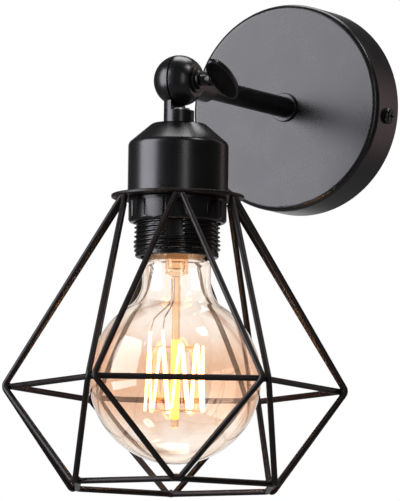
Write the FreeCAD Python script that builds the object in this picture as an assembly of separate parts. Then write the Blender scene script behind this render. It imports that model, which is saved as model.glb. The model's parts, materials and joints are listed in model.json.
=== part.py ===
"""Cage wall light: round wall canopy, straight arm, split-ball swivel, bell
cap, threaded lampholder, wire cage and a globe bulb.

Frame: the wall is the plane Y = 0 and the light stands out towards -Y.
+Z is up, +X is to the right seen from the room, and the origin is the middle
of the wall bracket's back face.  Lengths are millimetres, angles degrees.
"""
import FreeCAD, Part
import math
import os

Vector = FreeCAD.Vector
ORIGIN = Vector(0, 0, 0)
ACROSS = Vector(1, 0, 0)
UP = Vector(0, 0, 1)

# ---------------------------------------------------------------- clearances
FACE_GAP = 0.05          # between flat faces that turn or slide on each other
THREAD_GAP = 0.06        # radial, a screw in its tapped or clearing hole
PIN_GAP = 0.10           # radial, the pivot screw in the swivel
RING_GAP = 0.30          # radial, running over thread crests
WIRE_GAP = 0.12          # between cage wires that are welded side by side

# -------------------------------------------------------------- wall canopy
CANOPY_RADIUS = 50.0
CANOPY_DEPTH = 22.0
CANOPY_WALL = 1.2
CANOPY_EDGE_ROUND = 2.6

BRACKET_TURN = 6.0       # the light hangs turned this much on the wall
BRACKET_WIDTH = 18.0
BRACKET_THICK = 2.0
BRACKET_EAR_HEIGHT = 15.0
BRACKET_EAR_SPARE = 0.5  # ear corner to the canopy's inner wall
BRACKET_FOLD_SHARE = 0.9 # outer round of a fold, of the strip's thickness
WALL_HOLE_RADIUS = 2.25
WALL_HOLE_SPACING = 66.0
CABLE_HOLE_RADIUS = 5.5
EARTH_SCREW_PLACE = -15.0
EARTH_SCREW_RADIUS = 2.0
EARTH_HEAD_RADIUS = 3.8
EARTH_HEAD_HEIGHT = 2.4
EARTH_CUP_THICK = 0.8
EARTH_CUP_RADIUS = 4.4

SIDE_SCREW_RADIUS = 2.0
SIDE_SCREW_LENGTH = 8.0
SIDE_SCREW_OUT = 11.0    # from the wall to the screw's axis
SIDE_HEAD_RADIUS = 3.9
SIDE_HEAD_HEIGHT = 2.4
CROSS_SLOT_WIDTH = 1.0
CROSS_SLOT_LENGTH = 4.4
CROSS_SLOT_DEPTH = 1.2
HEAD_ROUND_SHARE = 0.6   # of a pan head's height

BLOCK_LENGTH = 15.0
BLOCK_WIDTH = 14.0
BLOCK_HEIGHT = 10.0
BLOCK_NEAR = 9.0         # from the light's axis to the block's near face
BLOCK_POLE_SPACING = 6.4
BLOCK_TUBE_RADIUS = 2.2
BLOCK_TUBE_BORE = 1.35
BLOCK_SCREW_RADIUS = 1.2
BLOCK_SCREW_SPARE = 0.4  # radial, round the clamp screws' wells
BLOCK_SCREW_SHARE = 0.25 # clamp screws from the block's ends, of its length
BLOCK_SCREW_SUNK = 1.0
BLOCK_SLOT_WIDTH = 0.5
BLOCK_SLOT_DEPTH = 0.6
BLOCK_TUBE_INSET = 0.6
BLOCK_EDGE_ROUND = 0.8

# ----------------------------------------------------------------------- arm
ARM_REACH = 127.0        # from the wall to the middle of the ball
ARM_RADIUS = 5.0
ARM_BORE = 3.5
COLLAR_RADIUS = 6.9
COLLAR_THICK = 1.6
COLLAR_EDGE_ROUND = 0.4
LOCK_WASHER_RADIUS = 8.0
LOCK_WASHER_THICK = 1.0
LOCK_WASHER_SPLIT = 0.8
LOCK_WASHER_SPLIT_LEAN = 30.0
NUT_FLATS = 16.0
NUT_THICK = 4.0
NUT_CHAMFER = 0.7
ARM_END_SPARE = 2.5      # tube past the nut, inside the canopy

# -------------------------------------------------------------- ball swivel
BALL_RADIUS = 12.0
SEAM_WIDTH = 1.0
BALL_FLAT_OUT = 9.0      # from the seam to the flat under the washer
NECK_RADIUS = 7.1
NECK_CUT = 14.1          # the necks are cut back to the seam up to here
ARM_NECK_END = 25.0
LAMP_NECK_END = 20.1
ARM_SOCKET_FLOOR = 15.2
LAMP_SOCKET_FLOOR = 12.6
WIRE_WAY_RADIUS = 3.2
HUB_RADIUS = 4.6         # wall left round the pivot screw
CAVITY_RADIUS = 8.4
CAVITY_DEPTH = 4.6
FRICTION_RING_OUTER = 11.2
FRICTION_RING_INNER = 9.2

SCREW_RADIUS = 3.0
SCREW_ROOT = 2.5
SCREW_PITCH = 1.0
SCREW_TIP = 8.4          # how far the screw reaches into the far half
SCREW_BORE_END = 9.2
PIVOT_WASHER_RADIUS = 6.0
PIVOT_WASHER_THICK = 1.0
PIVOT_WASHER_ROUND = 0.35
SHOULDER_RADIUS = 4.4
SHOULDER_THICK = 1.7
SHOULDER_ROUND = 0.4
WING_OUT = 22.8          # middle of the wing, from the seam
WING_SPAN = 27.0
WING_DEPTH = 12.4
WING_THICK = 3.0
WING_EDGE_ROUND = 1.1
WING_HUB_RADIUS = 3.5
WING_HUB_START = 15.2
WING_HUB_TAPER = 0.8
WING_HUB_ROUND = 1.2
WING_HUB_SINK = 4.6      # hub's shoulder, in from the wing's middle
WING_HUB_TIP_SINK = 3.6
WING_TILT = 33.0         # the wing's far end points this much below level

# ------------------------------------------------- cap and holder, Z downward
CAP_TOP_RADIUS = 12.3
CAP_RADIUS = 23.4
CAP_CONE_DROP = 9.5
CAP_LENGTH = 33.5
CAP_WALL = 1.0
CAP_TOP_ROUND = 2.4
CAP_SHOULDER_ROUND = 2.2

NIPPLE_BORE = 3.6
NIPPLE_TOP_SPARE = 0.4
NIPPLE_TAIL = 2.0
CAP_NUT_FLATS = 14.0
CAP_NUT_THICK = 3.0

DOME_RADIUS = 19.0
DOME_WALL = 2.2
DOME_BOSS_RADIUS = 9.5
DOME_BOSS_HEIGHT = 3.0
DOME_CONE_DROP = 6.0
DOME_LENGTH = 22.0
DOME_BOSS_ROUND = 0.8
DOME_SHOULDER_ROUND = 2.0

SKIRT_CREST = 20.25
SKIRT_ROOT = 19.1
SKIRT_PITCH = 2.1
SKIRT_FLANGE_SPARE = 0.6
SKIRT_FLANGE_THICK = 3.0
SKIRT_SPIGOT = 4.0
SKIRT_BORE = 15.0
MOUTH_BORE = 16.9
MOUTH_DEPTH = 14.0
MOUTH_LIP_HEIGHT = 1.2
MOUTH_LIP_RADIUS = 19.5
MOUTH_EDGE_ROUND = 0.4
MOUTH_LIP_ROUND = 0.5
MOUTH_STEP_LENGTH = 2.0
SKIRT_THREAD_SPARE = 0.3 # plain stretch between the lip and the thread
MOUTH_DROP = 82.9        # from the middle of the ball to the mouth's rim

CORE_THICK = 9.0
CORE_SUNK = 1.0          # core's top below the spigot's
CORE_EDGE_ROUND = 0.8
CORE_WIRE_HOLE = 1.6
TERMINAL_OUT = 7.6
TERMINAL_SIZE = 5.6
TERMINAL_HEIGHT = 4.5
TERMINAL_SCREW_RADIUS = 1.3
TERMINAL_SCREW_SPARE = 0.4
TERMINAL_HEAD_RADIUS = 2.0
TERMINAL_HEAD_HEIGHT = 1.6

SHELL_CREST = 13.35
SHELL_ROOT = 14.1
SHELL_WALL = 0.4
SHELL_LENGTH = 23.0
SHELL_FLANGE_BORE = 9.0
SHELL_PLAIN_LENGTH = 1.0
LEAF_WIDTH = 5.0
LEAF_THICK = 0.5
LEAF_FOOT = 7.6
LEAF_DROP = 3.3
LEAF_TIP_HALF = 2.4
LEAF_TAIL_LENGTH = 2.0
LEAF_TAIL_RISE = 1.6
LEAF_KINK = 0.3

SHADE_RING_RADIUS = 22.95
SHADE_RING_HEIGHT = 11.6
SHADE_RING_FLANGE = 1.7
SHADE_RING_FACETS = 14
SHADE_RING_FLAT_OUT = 22.5
SHADE_RING_LIP_ROUND = 2.0
SHADE_RING_TOP_ROUND = 0.4
SHADE_GROOVE_WIDTH = 0.9
SHADE_GROOVE_DEPTH = 0.7

# ---------------------------------------------------------------- wire cage
WIRE_RADIUS = 1.25
WIRE_BEND = 2.75         # to the wire's middle line
PLATE_RADIUS = 31.0
PLATE_THICK = 1.6
PLATE_EDGE_ROUND = 0.5
CAGE_SIDES = 6
CAGE_TOP_RADIUS = 29.4   # where the wires meet the plate
CAGE_MIDDLE_RADIUS = 79.7
CAGE_MIDDLE_DROP = 144.2
CAGE_FOOT_RADIUS = 53.2
CAGE_FOOT_DROP = 191.2
RING_BEND = 3.0

# --------------------------------------------------------------------- bulb
GLOBE_RADIUS = 40.0
BULB_LENGTH = 123.5
BULB_TIP_GAP = 0.3       # contact leaf to the bulb's tip
GLASS_WALL = 0.9
GLASS_NECK_RADIUS = 16.0
GLASS_NECK_FILLET = 14.0
GLASS_ROOT_RADIUS = 12.5
GLASS_ROOT_HIDDEN = 3.0  # glass inside the cap
GLASS_ROOT_SHOWN = 0.6
GLASS_ROOT_FLARE = 3.4
BULB_CREST = 13.1
BULB_ROOT = 12.3
BULB_PITCH = 3.6
BULB_CAP_WALL = 0.35
BULB_CAP_LENGTH = 21.0
BULB_THREAD_START = 1.2
BULB_THREAD_TURNS = 4
BULB_CAP_TAPER = 1.0
BULB_CAP_TURN_IN = 1.2
TIP_RADIUS = 4.7
TIP_HEIGHT = 1.6
TIP_ROUND = 1.28
INSULATOR_HEIGHT = 4.0
INSULATOR_RADIUS = 11.4
INSULATOR_EDGE = 0.8
INSULATOR_TIP_SPARE = 0.8
STEM_RADIUS = 5.4
STEM_WALL = 0.9
STEM_FOOT_FLARE = 3.0
STEM_TUBE_LENGTH = 10.0
STEM_FOOT_RISE = 3.5     # stem's foot inside the cap
STEM_FLARE_GAP = 0.3
STEM_END_RISE = 1.5
STEM_END_ROUND = 1.2
PINCH_RADIUS = 2.0
PINCH_LENGTH = 9.0
PINCH_BASE = 3.0         # solid glass over the pinch
PINCH_BASE_TAPER = 0.6
PINCH_STEP = 0.5
ROD_RADIUS = 2.0
ROD_END_SPARE = 1.0
ROD_END_ROUND = 1.0
FILAMENT_RADIUS = 0.4
FILAMENT_TOP_RADIUS = 12.6
FILAMENT_FOOT_RADIUS = 14.2
FILAMENT_TOP_DROP = 118.0
FILAMENT_FOOT_DROP = 161.3
FILAMENT_TOP_HOOKS = 9
FILAMENT_HOOK_BEND = 0.8
HOOK_RADIUS = 0.25
LEAD_RADIUS = 0.35
LEAD_KNEE_DROP = 3.0     # below the pinch, where the leads spread
LEAD_TOP_SPARE = 1.0
LEAD_ELBOW_IN = 1.5
LEAD_ELBOW_RISE = 6.0

WIRE_INSULATION = 1.0    # radius of the insulated leads
LEAD_SIDE = 1.15         # each lead runs this far from the middle
LEAD_BEND = 3.6
LEAD_BEND_SHARE = 0.8    # of the bend, where a lead enters the arm
LEAD_START = 0.5         # inside the block
LEAD_RISE = 1.2
LEAD_ARM_SPARE = 1.0     # past the neck's cut
LEAD_SPREAD_DROP = 1.0   # below the nipple
LEAD_END_RISE = 3.0      # straight stretch over a terminal

# -------------------------------------------------- places worked out once
CANOPY_FLOOR = CANOPY_DEPTH - CANOPY_WALL
ARM_BACK = CANOPY_FLOOR - LOCK_WASHER_THICK - NUT_THICK - ARM_END_SPARE
SEAM_HALF = SEAM_WIDTH / 2
CAP_UNDER = -(LAMP_NECK_END + CAP_WALL)
DOME_TOP = CAP_UNDER - CAP_NUT_THICK
DOME_FOOT = DOME_TOP - DOME_LENGTH
FLANGE_FOOT = DOME_FOOT - SKIRT_FLANGE_THICK
CAP_FOOT = -(LAMP_NECK_END + CAP_LENGTH)
PLATE_TOP = CAP_FOOT - FACE_GAP
PLATE_FOOT = PLATE_TOP - PLATE_THICK
SHADE_RING_TOP = PLATE_FOOT - FACE_GAP
CORE_TOP = DOME_FOOT + SKIRT_SPIGOT - CORE_SUNK
CORE_FOOT = CORE_TOP - CORE_THICK
LEAF_TIP = CORE_FOOT - LEAF_DROP
BULB_TIP = LEAF_TIP - BULB_TIP_GAP
INSULATOR_TOP = BULB_TIP - TIP_HEIGHT - FACE_GAP
BULB_CAP_TOP = INSULATOR_TOP - INSULATOR_HEIGHT
BULB_CAP_FOOT = BULB_CAP_TOP - BULB_CAP_LENGTH
GLOBE_MIDDLE = BULB_TIP - BULB_LENGTH + GLOBE_RADIUS
STEM_FOOT = BULB_CAP_FOOT + STEM_FOOT_RISE
PINCH_TOP = STEM_FOOT - STEM_FOOT_FLARE - STEM_TUBE_LENGTH
PINCH_FOOT = PINCH_TOP - PINCH_LENGTH


# ------------------------------------------------------------------ helpers
def rounding(before, corner, after, radius):
    """Start, middle and end of the arc that rounds a corner."""
    inward = (before - corner).normalize()
    outward = (after - corner).normalize()
    half = inward.getAngle(outward) / 2
    reach = radius / math.tan(half)
    middle = corner + (inward + outward).normalize() * (radius / math.sin(half) - radius)
    return corner + inward * reach, middle, corner + outward * reach


def rounded_wire(points, radii, closed):
    """Straight runs through the points, with a tangent arc at each corner."""
    count = len(points)
    stops = []
    arcs = []
    for index, corner in enumerate(points):
        inner = closed or 0 < index < count - 1
        if inner and radii[index] > 0:
            start, middle, end = rounding(points[index - 1], corner,
                                          points[(index + 1) % count], radii[index])
            stops.append((start, end))
            arcs.append(Part.Arc(start, middle, end).toShape())
        else:
            stops.append((corner, corner))
            arcs.append(None)
    edges = []
    for index in range(count):
        if arcs[index]:
            edges.append(arcs[index])
        if index < count - 1 or closed:
            leave = stops[index][1]
            arrive = stops[(index + 1) % count][0]
            if (arrive - leave).Length > 1e-6:
                edges.append(Part.makeLine(leave, arrive))
    return Part.Wire(edges)


def turned(outline):
    """Solid turned about +Z; an outline corner is (r, z) or (r, z, rounding)."""
    points = [Vector(corner[0], 0, corner[1]) for corner in outline]
    radii = [corner[2] if len(corner) > 2 else 0 for corner in outline]
    face = Part.Face(rounded_wire(points, radii, True))
    return face.revolve(ORIGIN, UP, 360)


def tube(outer, inner, low, high):
    """Ring or tube about +Z."""
    return turned([(inner, low), (outer, low), (outer, high), (inner, high)])


def rod(radius, start, end):
    """Plain round rod between two points."""
    return Part.makeCylinder(radius, (end - start).Length, start, end - start)


def bar(points, radius, bend, closed=False):
    """Round bar along straight runs joined by tangent bends."""
    if closed:
        seam = (points[0] + points[-1]) * 0.5
        points = [seam] + list(points)
    radii = [bend] * len(points)
    if closed:
        radii[0] = 0
    wire = rounded_wire(points, radii, closed)
    start = points[0]
    section = Part.Wire(Part.makeCircle(radius, start, points[1] - start))
    return wire.makePipeShell([section], True, False)


def ridges(crest, root, pitch, low, turns):
    """Outline corners of a threaded stretch that climbs from low."""
    corners = [(root, low)]
    for turn in range(turns):
        corners.append((crest, low + (turn + 0.5) * pitch))
        corners.append((root, low + (turn + 1) * pitch))
    return corners


def hexagon_nut(flats, thick, bore, low):
    """Hexagon nut about +Z with chamfered corners."""
    corner_radius = flats / 2 / math.cos(math.radians(30))
    corners = [Vector(corner_radius * math.cos(math.radians(60 * side)),
                      corner_radius * math.sin(math.radians(60 * side)), low)
               for side in range(6)]
    prism = Part.Face(Part.makePolygon(corners + corners[:1])).extrude(UP * thick)
    edge = corner_radius - NUT_CHAMFER
    envelope = turned([(bore, low), (edge, low), (corner_radius, low + NUT_CHAMFER),
                       (corner_radius, low + thick - NUT_CHAMFER), (edge, low + thick),
                       (bore, low + thick)])
    return prism.common(envelope)


def screw(shank_radius, length, head_radius, head_height):
    """Pan-head screw: the head stands on Z = 0, the shank points down."""
    body = turned([(0, -length), (shank_radius, -length), (shank_radius, 0),
                   (head_radius, 0), (head_radius, head_height, head_height * HEAD_ROUND_SHARE),
                   (0, head_height)])
    for long_side, short_side in ((CROSS_SLOT_LENGTH, CROSS_SLOT_WIDTH),
                                  (CROSS_SLOT_WIDTH, CROSS_SLOT_LENGTH)):
        slot = Part.makeBox(long_side, short_side, CROSS_SLOT_DEPTH + 1,
                            Vector(-long_side / 2, -short_side / 2,
                                   head_height - CROSS_SLOT_DEPTH))
        body = body.cut(slot)
    return body


def ray(turn, radius, height):
    """Point at an azimuth from -Y towards +X, about the Z axis."""
    angle = math.radians(turn)
    return Vector(radius * math.sin(angle), -radius * math.cos(angle), height)


def spun(shape, turn):
    """Copy turned about +Z."""
    return shape.copy().rotate(ORIGIN, UP, turn)


def from_wall(shape):
    """Stand a piece made about +Z out of the wall, so that +Z becomes -Y."""
    return shape.copy().rotate(ORIGIN, ACROSS, 90)


def on_base(shape):
    """As from_wall, turned with the bracket."""
    return from_wall(spun(shape, -BRACKET_TURN))


def on_pivot(shape):
    """Lay a piece made about +Z along the swivel's axis, +Z to +X."""
    return hung(shape.copy().rotate(ORIGIN, Vector(0, 1, 0), 90))


def hung(shape):
    """Move a piece made about the ball's middle to its place on the arm."""
    return shape.copy().translate(Vector(0, -ARM_REACH, 0))


# ------------------------------------------------- pieces held by the canopy
def canopy():
    inner_radius = CANOPY_RADIUS - CANOPY_WALL
    inner_round = max(CANOPY_EDGE_ROUND - CANOPY_WALL, 0.3)
    arm_hole = ARM_RADIUS + THREAD_GAP
    pan = turned([(CANOPY_RADIUS, 0), (CANOPY_RADIUS, CANOPY_DEPTH, CANOPY_EDGE_ROUND),
                  (arm_hole, CANOPY_DEPTH), (arm_hole, CANOPY_FLOOR),
                  (inner_radius, CANOPY_FLOOR, inner_round), (inner_radius, 0)])
    screw_way = rod(SIDE_SCREW_RADIUS + THREAD_GAP,
                    Vector(-2 * CANOPY_RADIUS, 0, SIDE_SCREW_OUT),
                    Vector(2 * CANOPY_RADIUS, 0, SIDE_SCREW_OUT))
    return on_base(pan.cut(screw_way))


def bracket_half_length():
    """Outer face of the ears, whose corners clear the canopy's wall."""
    room = CANOPY_RADIUS - CANOPY_WALL - BRACKET_EAR_SPARE
    return math.sqrt(room ** 2 - (BRACKET_WIDTH / 2) ** 2)


def wall_bracket():
    half = bracket_half_length()
    strip = Part.makeBox(2 * half, BRACKET_WIDTH, BRACKET_THICK,
                         Vector(-half, -BRACKET_WIDTH / 2, 0))
    for side in (-half, half - BRACKET_THICK):
        strip = strip.fuse(Part.makeBox(BRACKET_THICK, BRACKET_WIDTH, BRACKET_EAR_HEIGHT,
                                        Vector(side, -BRACKET_WIDTH / 2, 0)))
    strip = strip.removeSplitter()
    folds = [edge for edge in strip.Edges
             if abs(edge.CenterOfMass.z) < 1e-6 and abs(edge.CenterOfMass.x) > half - 1e-6]
    strip = strip.makeFillet(BRACKET_THICK * BRACKET_FOLD_SHARE, folds)
    holes = [(0, CABLE_HOLE_RADIUS), (EARTH_SCREW_PLACE, EARTH_SCREW_RADIUS + THREAD_GAP),
             (-WALL_HOLE_SPACING / 2, WALL_HOLE_RADIUS),
             (WALL_HOLE_SPACING / 2, WALL_HOLE_RADIUS)]
    for place, radius in holes:
        strip = strip.cut(rod(radius, Vector(place, 0, -1), Vector(place, 0, BRACKET_THICK + 1)))
    strip = strip.cut(rod(SIDE_SCREW_RADIUS + THREAD_GAP, Vector(-2 * half, 0, SIDE_SCREW_OUT),
                          Vector(2 * half, 0, SIDE_SCREW_OUT)))
    return on_base(strip)


def canopy_screws():
    one = screw(SIDE_SCREW_RADIUS, SIDE_SCREW_LENGTH, SIDE_HEAD_RADIUS, SIDE_HEAD_HEIGHT)
    one.rotate(ORIGIN, Vector(0, 1, 0), 90)
    one.translate(Vector(CANOPY_RADIUS + FACE_GAP, 0, SIDE_SCREW_OUT))
    return Part.makeCompound([on_base(one), on_base(spun(one, 180))])


def earth_screw():
    head_seat = BRACKET_THICK + EARTH_CUP_THICK
    one = screw(EARTH_SCREW_RADIUS, head_seat, EARTH_HEAD_RADIUS, EARTH_HEAD_HEIGHT)
    one.translate(Vector(EARTH_SCREW_PLACE, 0, head_seat))
    return on_base(one)


def earth_cup_washer():
    cup = tube(EARTH_CUP_RADIUS, EARTH_SCREW_RADIUS + THREAD_GAP,
               BRACKET_THICK, BRACKET_THICK + EARTH_CUP_THICK)
    return on_base(cup.translate(Vector(EARTH_SCREW_PLACE, 0, 0)))


def block_poles():
    """Heights of the terminal block's two poles across the bracket."""
    return (-BLOCK_POLE_SPACING / 2, BLOCK_POLE_SPACING / 2)


def terminal_block():
    """Insulating block, open at both ends of each pole."""
    body = Part.makeBox(BLOCK_LENGTH, BLOCK_WIDTH, BLOCK_HEIGHT,
                        Vector(BLOCK_NEAR, -BLOCK_WIDTH / 2, BRACKET_THICK))
    shown = [edge for edge in body.Edges if edge.CenterOfMass.z > BRACKET_THICK + 1e-6]
    body = body.makeFillet(BLOCK_EDGE_ROUND, shown)
    middle = BRACKET_THICK + BLOCK_HEIGHT / 2
    for pole in block_poles():
        body = body.cut(rod(BLOCK_TUBE_RADIUS, Vector(BLOCK_NEAR - 1, pole, middle),
                            Vector(BLOCK_NEAR + BLOCK_LENGTH + 1, pole, middle)))
        for place in block_screw_places():
            well_foot = Vector(place, pole, middle)
            body = body.cut(rod(BLOCK_SCREW_RADIUS + BLOCK_SCREW_SPARE, well_foot,
                                well_foot + UP * BLOCK_HEIGHT))
    return on_base(body)


def block_screw_places():
    """Distances of the two clamp screws from the light's axis."""
    inset = BLOCK_LENGTH * BLOCK_SCREW_SHARE
    return (BLOCK_NEAR + inset, BLOCK_NEAR + BLOCK_LENGTH - inset)


def block_tubes():
    """Brass tubes of the terminal block, one for each pole."""
    middle = BRACKET_THICK + BLOCK_HEIGHT / 2
    tubes = []
    for pole in block_poles():
        start = Vector(BLOCK_NEAR + BLOCK_TUBE_INSET, pole, middle)
        end = Vector(BLOCK_NEAR + BLOCK_LENGTH - BLOCK_TUBE_INSET, pole, middle)
        brass = rod(BLOCK_TUBE_RADIUS - FACE_GAP, start, end).cut(
            rod(BLOCK_TUBE_BORE, start - ACROSS, end + ACROSS))
        for place in block_screw_places():
            brass = brass.cut(rod(BLOCK_SCREW_RADIUS + FACE_GAP, Vector(place, pole, middle),
                                  Vector(place, pole, middle + BLOCK_HEIGHT)))
        tubes.append(on_base(brass))
    return Part.makeCompound(tubes)


def block_screws():
    screws = []
    top = BRACKET_THICK + BLOCK_HEIGHT - BLOCK_SCREW_SUNK
    foot = BRACKET_THICK + BLOCK_HEIGHT / 2 + BLOCK_TUBE_BORE
    for pole in block_poles():
        for place in block_screw_places():
            grub = rod(BLOCK_SCREW_RADIUS, Vector(place, pole, foot), Vector(place, pole, top))
            slot = Part.makeBox(BLOCK_SLOT_WIDTH, 4 * BLOCK_SCREW_RADIUS, 2 * BLOCK_SLOT_DEPTH,
                                Vector(place - BLOCK_SLOT_WIDTH / 2, pole - 2 * BLOCK_SCREW_RADIUS,
                                       top - BLOCK_SLOT_DEPTH))
            screws.append(on_base(grub.cut(slot)))
    return Part.makeCompound(screws)


# ----------------------------------------------------------------------- arm
def arm_tube():
    return from_wall(tube(ARM_RADIUS, ARM_BORE, ARM_BACK, ARM_REACH - ARM_SOCKET_FLOOR - FACE_GAP))


def arm_collar():
    return from_wall(turned([
        (ARM_RADIUS + THREAD_GAP, CANOPY_DEPTH), (COLLAR_RADIUS, CANOPY_DEPTH),
        (COLLAR_RADIUS, CANOPY_DEPTH + COLLAR_THICK, COLLAR_EDGE_ROUND),
        (ARM_RADIUS + THREAD_GAP, CANOPY_DEPTH + COLLAR_THICK)]))


def arm_lock_washer():
    """Split spring washer inside the canopy."""
    washer = tube(LOCK_WASHER_RADIUS, ARM_RADIUS + THREAD_GAP,
                  CANOPY_FLOOR - LOCK_WASHER_THICK, CANOPY_FLOOR)
    gap = Part.makeBox(2 * LOCK_WASHER_RADIUS, LOCK_WASHER_SPLIT, 3 * LOCK_WASHER_THICK,
                       Vector(0, -LOCK_WASHER_SPLIT / 2, CANOPY_FLOOR - 2 * LOCK_WASHER_THICK))
    gap.rotate(Vector(0, 0, CANOPY_FLOOR), ACROSS, LOCK_WASHER_SPLIT_LEAN)
    return from_wall(washer.cut(gap))


def arm_nut():
    return from_wall(hexagon_nut(NUT_FLATS, NUT_THICK, ARM_RADIUS + THREAD_GAP,
                                 CANOPY_FLOOR - LOCK_WASHER_THICK - NUT_THICK))


def arm_leads():
    """Two insulated leads from the terminal block through the arm."""
    middle = BRACKET_THICK + BLOCK_HEIGHT / 2
    end = ARM_REACH - NECK_CUT + LEAD_ARM_SPARE
    leads = []
    for pole in block_poles():
        side = math.copysign(LEAD_SIDE, pole)
        route = [Vector(BLOCK_NEAR + LEAD_START, pole, middle),
                 Vector(BLOCK_NEAR - LEAD_BEND, pole, middle),
                 Vector(0, side, middle + LEAD_RISE), Vector(0, side, end)]
        radii = [0, LEAD_BEND, LEAD_BEND * LEAD_BEND_SHARE, 0]
        wire = rounded_wire(route, radii, False)
        section = Part.Wire(Part.makeCircle(WIRE_INSULATION, route[0], route[1] - route[0]))
        leads.append(on_base(wire.makePipeShell([section], True, False)))
    return Part.makeCompound(leads)


# -------------------------------------------------------------- ball swivel
def knuckle_half(side, neck_end, socket_floor):
    """Half of the split ball on one side of the seam, with its neck down.

    The neck stays round past NECK_CUT; nearer the ball it is cut back to the
    seam, so that the other half can swing past it."""
    far = 4 * BALL_RADIUS
    half = Part.makeSphere(BALL_RADIUS)
    half = half.fuse(Part.makeCylinder(NECK_RADIUS, neck_end, Vector(0, 0, -neck_end)))
    low = SEAM_HALF - far if side > 0 else -SEAM_HALF
    half = half.cut(Part.makeBox(far, far, far + NECK_CUT, Vector(low, -far / 2, -NECK_CUT)))
    half = half.cut(Part.makeCylinder(ARM_RADIUS + THREAD_GAP, neck_end - socket_floor + 1,
                                      Vector(0, 0, -neck_end - 1)))
    half = half.cut(Part.makeCylinder(WIRE_WAY_RADIUS, socket_floor - HUB_RADIUS,
                                      Vector(0, 0, -socket_floor)))
    cavity = tube(CAVITY_RADIUS, HUB_RADIUS, 0, SEAM_HALF + CAVITY_DEPTH)
    half = half.cut(cavity.rotate(ORIGIN, Vector(0, 1, 0), 90 * side))
    return half


def ball_half_arm():
    half = knuckle_half(1, ARM_NECK_END, ARM_SOCKET_FLOOR)
    half = half.cut(rod(SCREW_RADIUS + PIN_GAP, ORIGIN, ACROSS * 2 * BALL_RADIUS))
    half = half.cut(Part.makeBox(BALL_RADIUS, 4 * BALL_RADIUS, 4 * BALL_RADIUS,
                                 Vector(BALL_FLAT_OUT, -2 * BALL_RADIUS, -2 * BALL_RADIUS)))
    return hung(half.rotate(ORIGIN, ACROSS, 90))


def ball_half_lamp():
    half = knuckle_half(-1, LAMP_NECK_END, LAMP_SOCKET_FLOOR)
    return hung(half.cut(rod(SCREW_RADIUS + PIN_GAP, ORIGIN, ACROSS * -SCREW_BORE_END)))


def friction_ring():
    """Fibre ring in the seam, fixed to the lamp half."""
    return on_pivot(tube(FRICTION_RING_OUTER, FRICTION_RING_INNER,
                         -SEAM_HALF, SEAM_HALF - 2 * FACE_GAP))


def pivot_washer():
    low = BALL_FLAT_OUT + FACE_GAP
    return on_pivot(turned([(SCREW_RADIUS + PIN_GAP, low), (PIVOT_WASHER_RADIUS, low),
                            (PIVOT_WASHER_RADIUS, low + PIVOT_WASHER_THICK, PIVOT_WASHER_ROUND),
                            (SCREW_RADIUS + PIN_GAP, low + PIVOT_WASHER_THICK)]))


def wing_screw():
    """Threaded shank, shoulder on the washer, and a flat oval wing."""
    shoulder = BALL_FLAT_OUT + PIVOT_WASHER_THICK + 2 * FACE_GAP
    shoulder_end = shoulder + SHOULDER_THICK
    buried_turns = int((shoulder + SCREW_TIP) / SCREW_PITCH)
    shown_turns = int((WING_HUB_START - shoulder_end) / SCREW_PITCH)
    outline = [(0, -SCREW_TIP)]
    outline += ridges(SCREW_RADIUS, SCREW_ROOT, SCREW_PITCH, -SCREW_TIP, buried_turns)
    outline += [(SCREW_ROOT, shoulder), (SHOULDER_RADIUS, shoulder),
                (SHOULDER_RADIUS, shoulder_end, SHOULDER_ROUND)]
    outline += ridges(SCREW_RADIUS, SCREW_ROOT, SCREW_PITCH, shoulder_end, shown_turns)
    outline += [(SCREW_ROOT, WING_HUB_START), (WING_HUB_RADIUS, WING_HUB_START + WING_HUB_TAPER),
                (WING_HUB_RADIUS, WING_OUT - WING_HUB_SINK, WING_HUB_ROUND),
                (0, WING_OUT - WING_HUB_TIP_SINK)]
    shank = turned(outline)
    oval = Part.Ellipse(ORIGIN, WING_SPAN / 2, WING_DEPTH / 2).toShape()
    wing = Part.Face(Part.Wire(oval)).extrude(UP * WING_THICK)
    rims = [edge for edge in wing.Edges if edge.Length > WING_SPAN]
    wing = wing.makeFillet(WING_EDGE_ROUND, rims)
    wing.translate(Vector(0, 0, -WING_THICK / 2))
    wing.rotate(ORIGIN, ACROSS, 90)
    wing.translate(Vector(0, 0, WING_OUT))
    return on_pivot(spun(shank.fuse(wing), 90 - WING_TILT))


# ---------------------------------------------------------- cap and holder
def neck_nipple():
    low = DOME_TOP - DOME_BOSS_HEIGHT - NIPPLE_TAIL
    high = -(LAMP_SOCKET_FLOOR + NIPPLE_TOP_SPARE)
    return hung(tube(ARM_RADIUS, NIPPLE_BORE, low, high))


def socket_cap():
    top = -LAMP_NECK_END
    shoulder = top - CAP_CONE_DROP
    slope = math.atan2(CAP_CONE_DROP, CAP_RADIUS - CAP_TOP_RADIUS)
    inner_top_radius = CAP_TOP_RADIUS - CAP_WALL * math.tan(slope / 2)
    inner_shoulder = shoulder - CAP_WALL * math.tan((math.pi / 2 - slope) / 2)
    hole = ARM_RADIUS + THREAD_GAP
    return hung(turned([
        (hole, top), (CAP_TOP_RADIUS, top, CAP_TOP_ROUND + CAP_WALL),
        (CAP_RADIUS, shoulder, CAP_SHOULDER_ROUND + CAP_WALL), (CAP_RADIUS, CAP_FOOT),
        (CAP_RADIUS - CAP_WALL, CAP_FOOT), (CAP_RADIUS - CAP_WALL, inner_shoulder, CAP_SHOULDER_ROUND),
        (inner_top_radius, CAP_UNDER, CAP_TOP_ROUND), (hole, CAP_UNDER)]))


def cap_nut():
    return hung(hexagon_nut(CAP_NUT_FLATS, CAP_NUT_THICK, ARM_RADIUS + THREAD_GAP, DOME_TOP))


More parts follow.
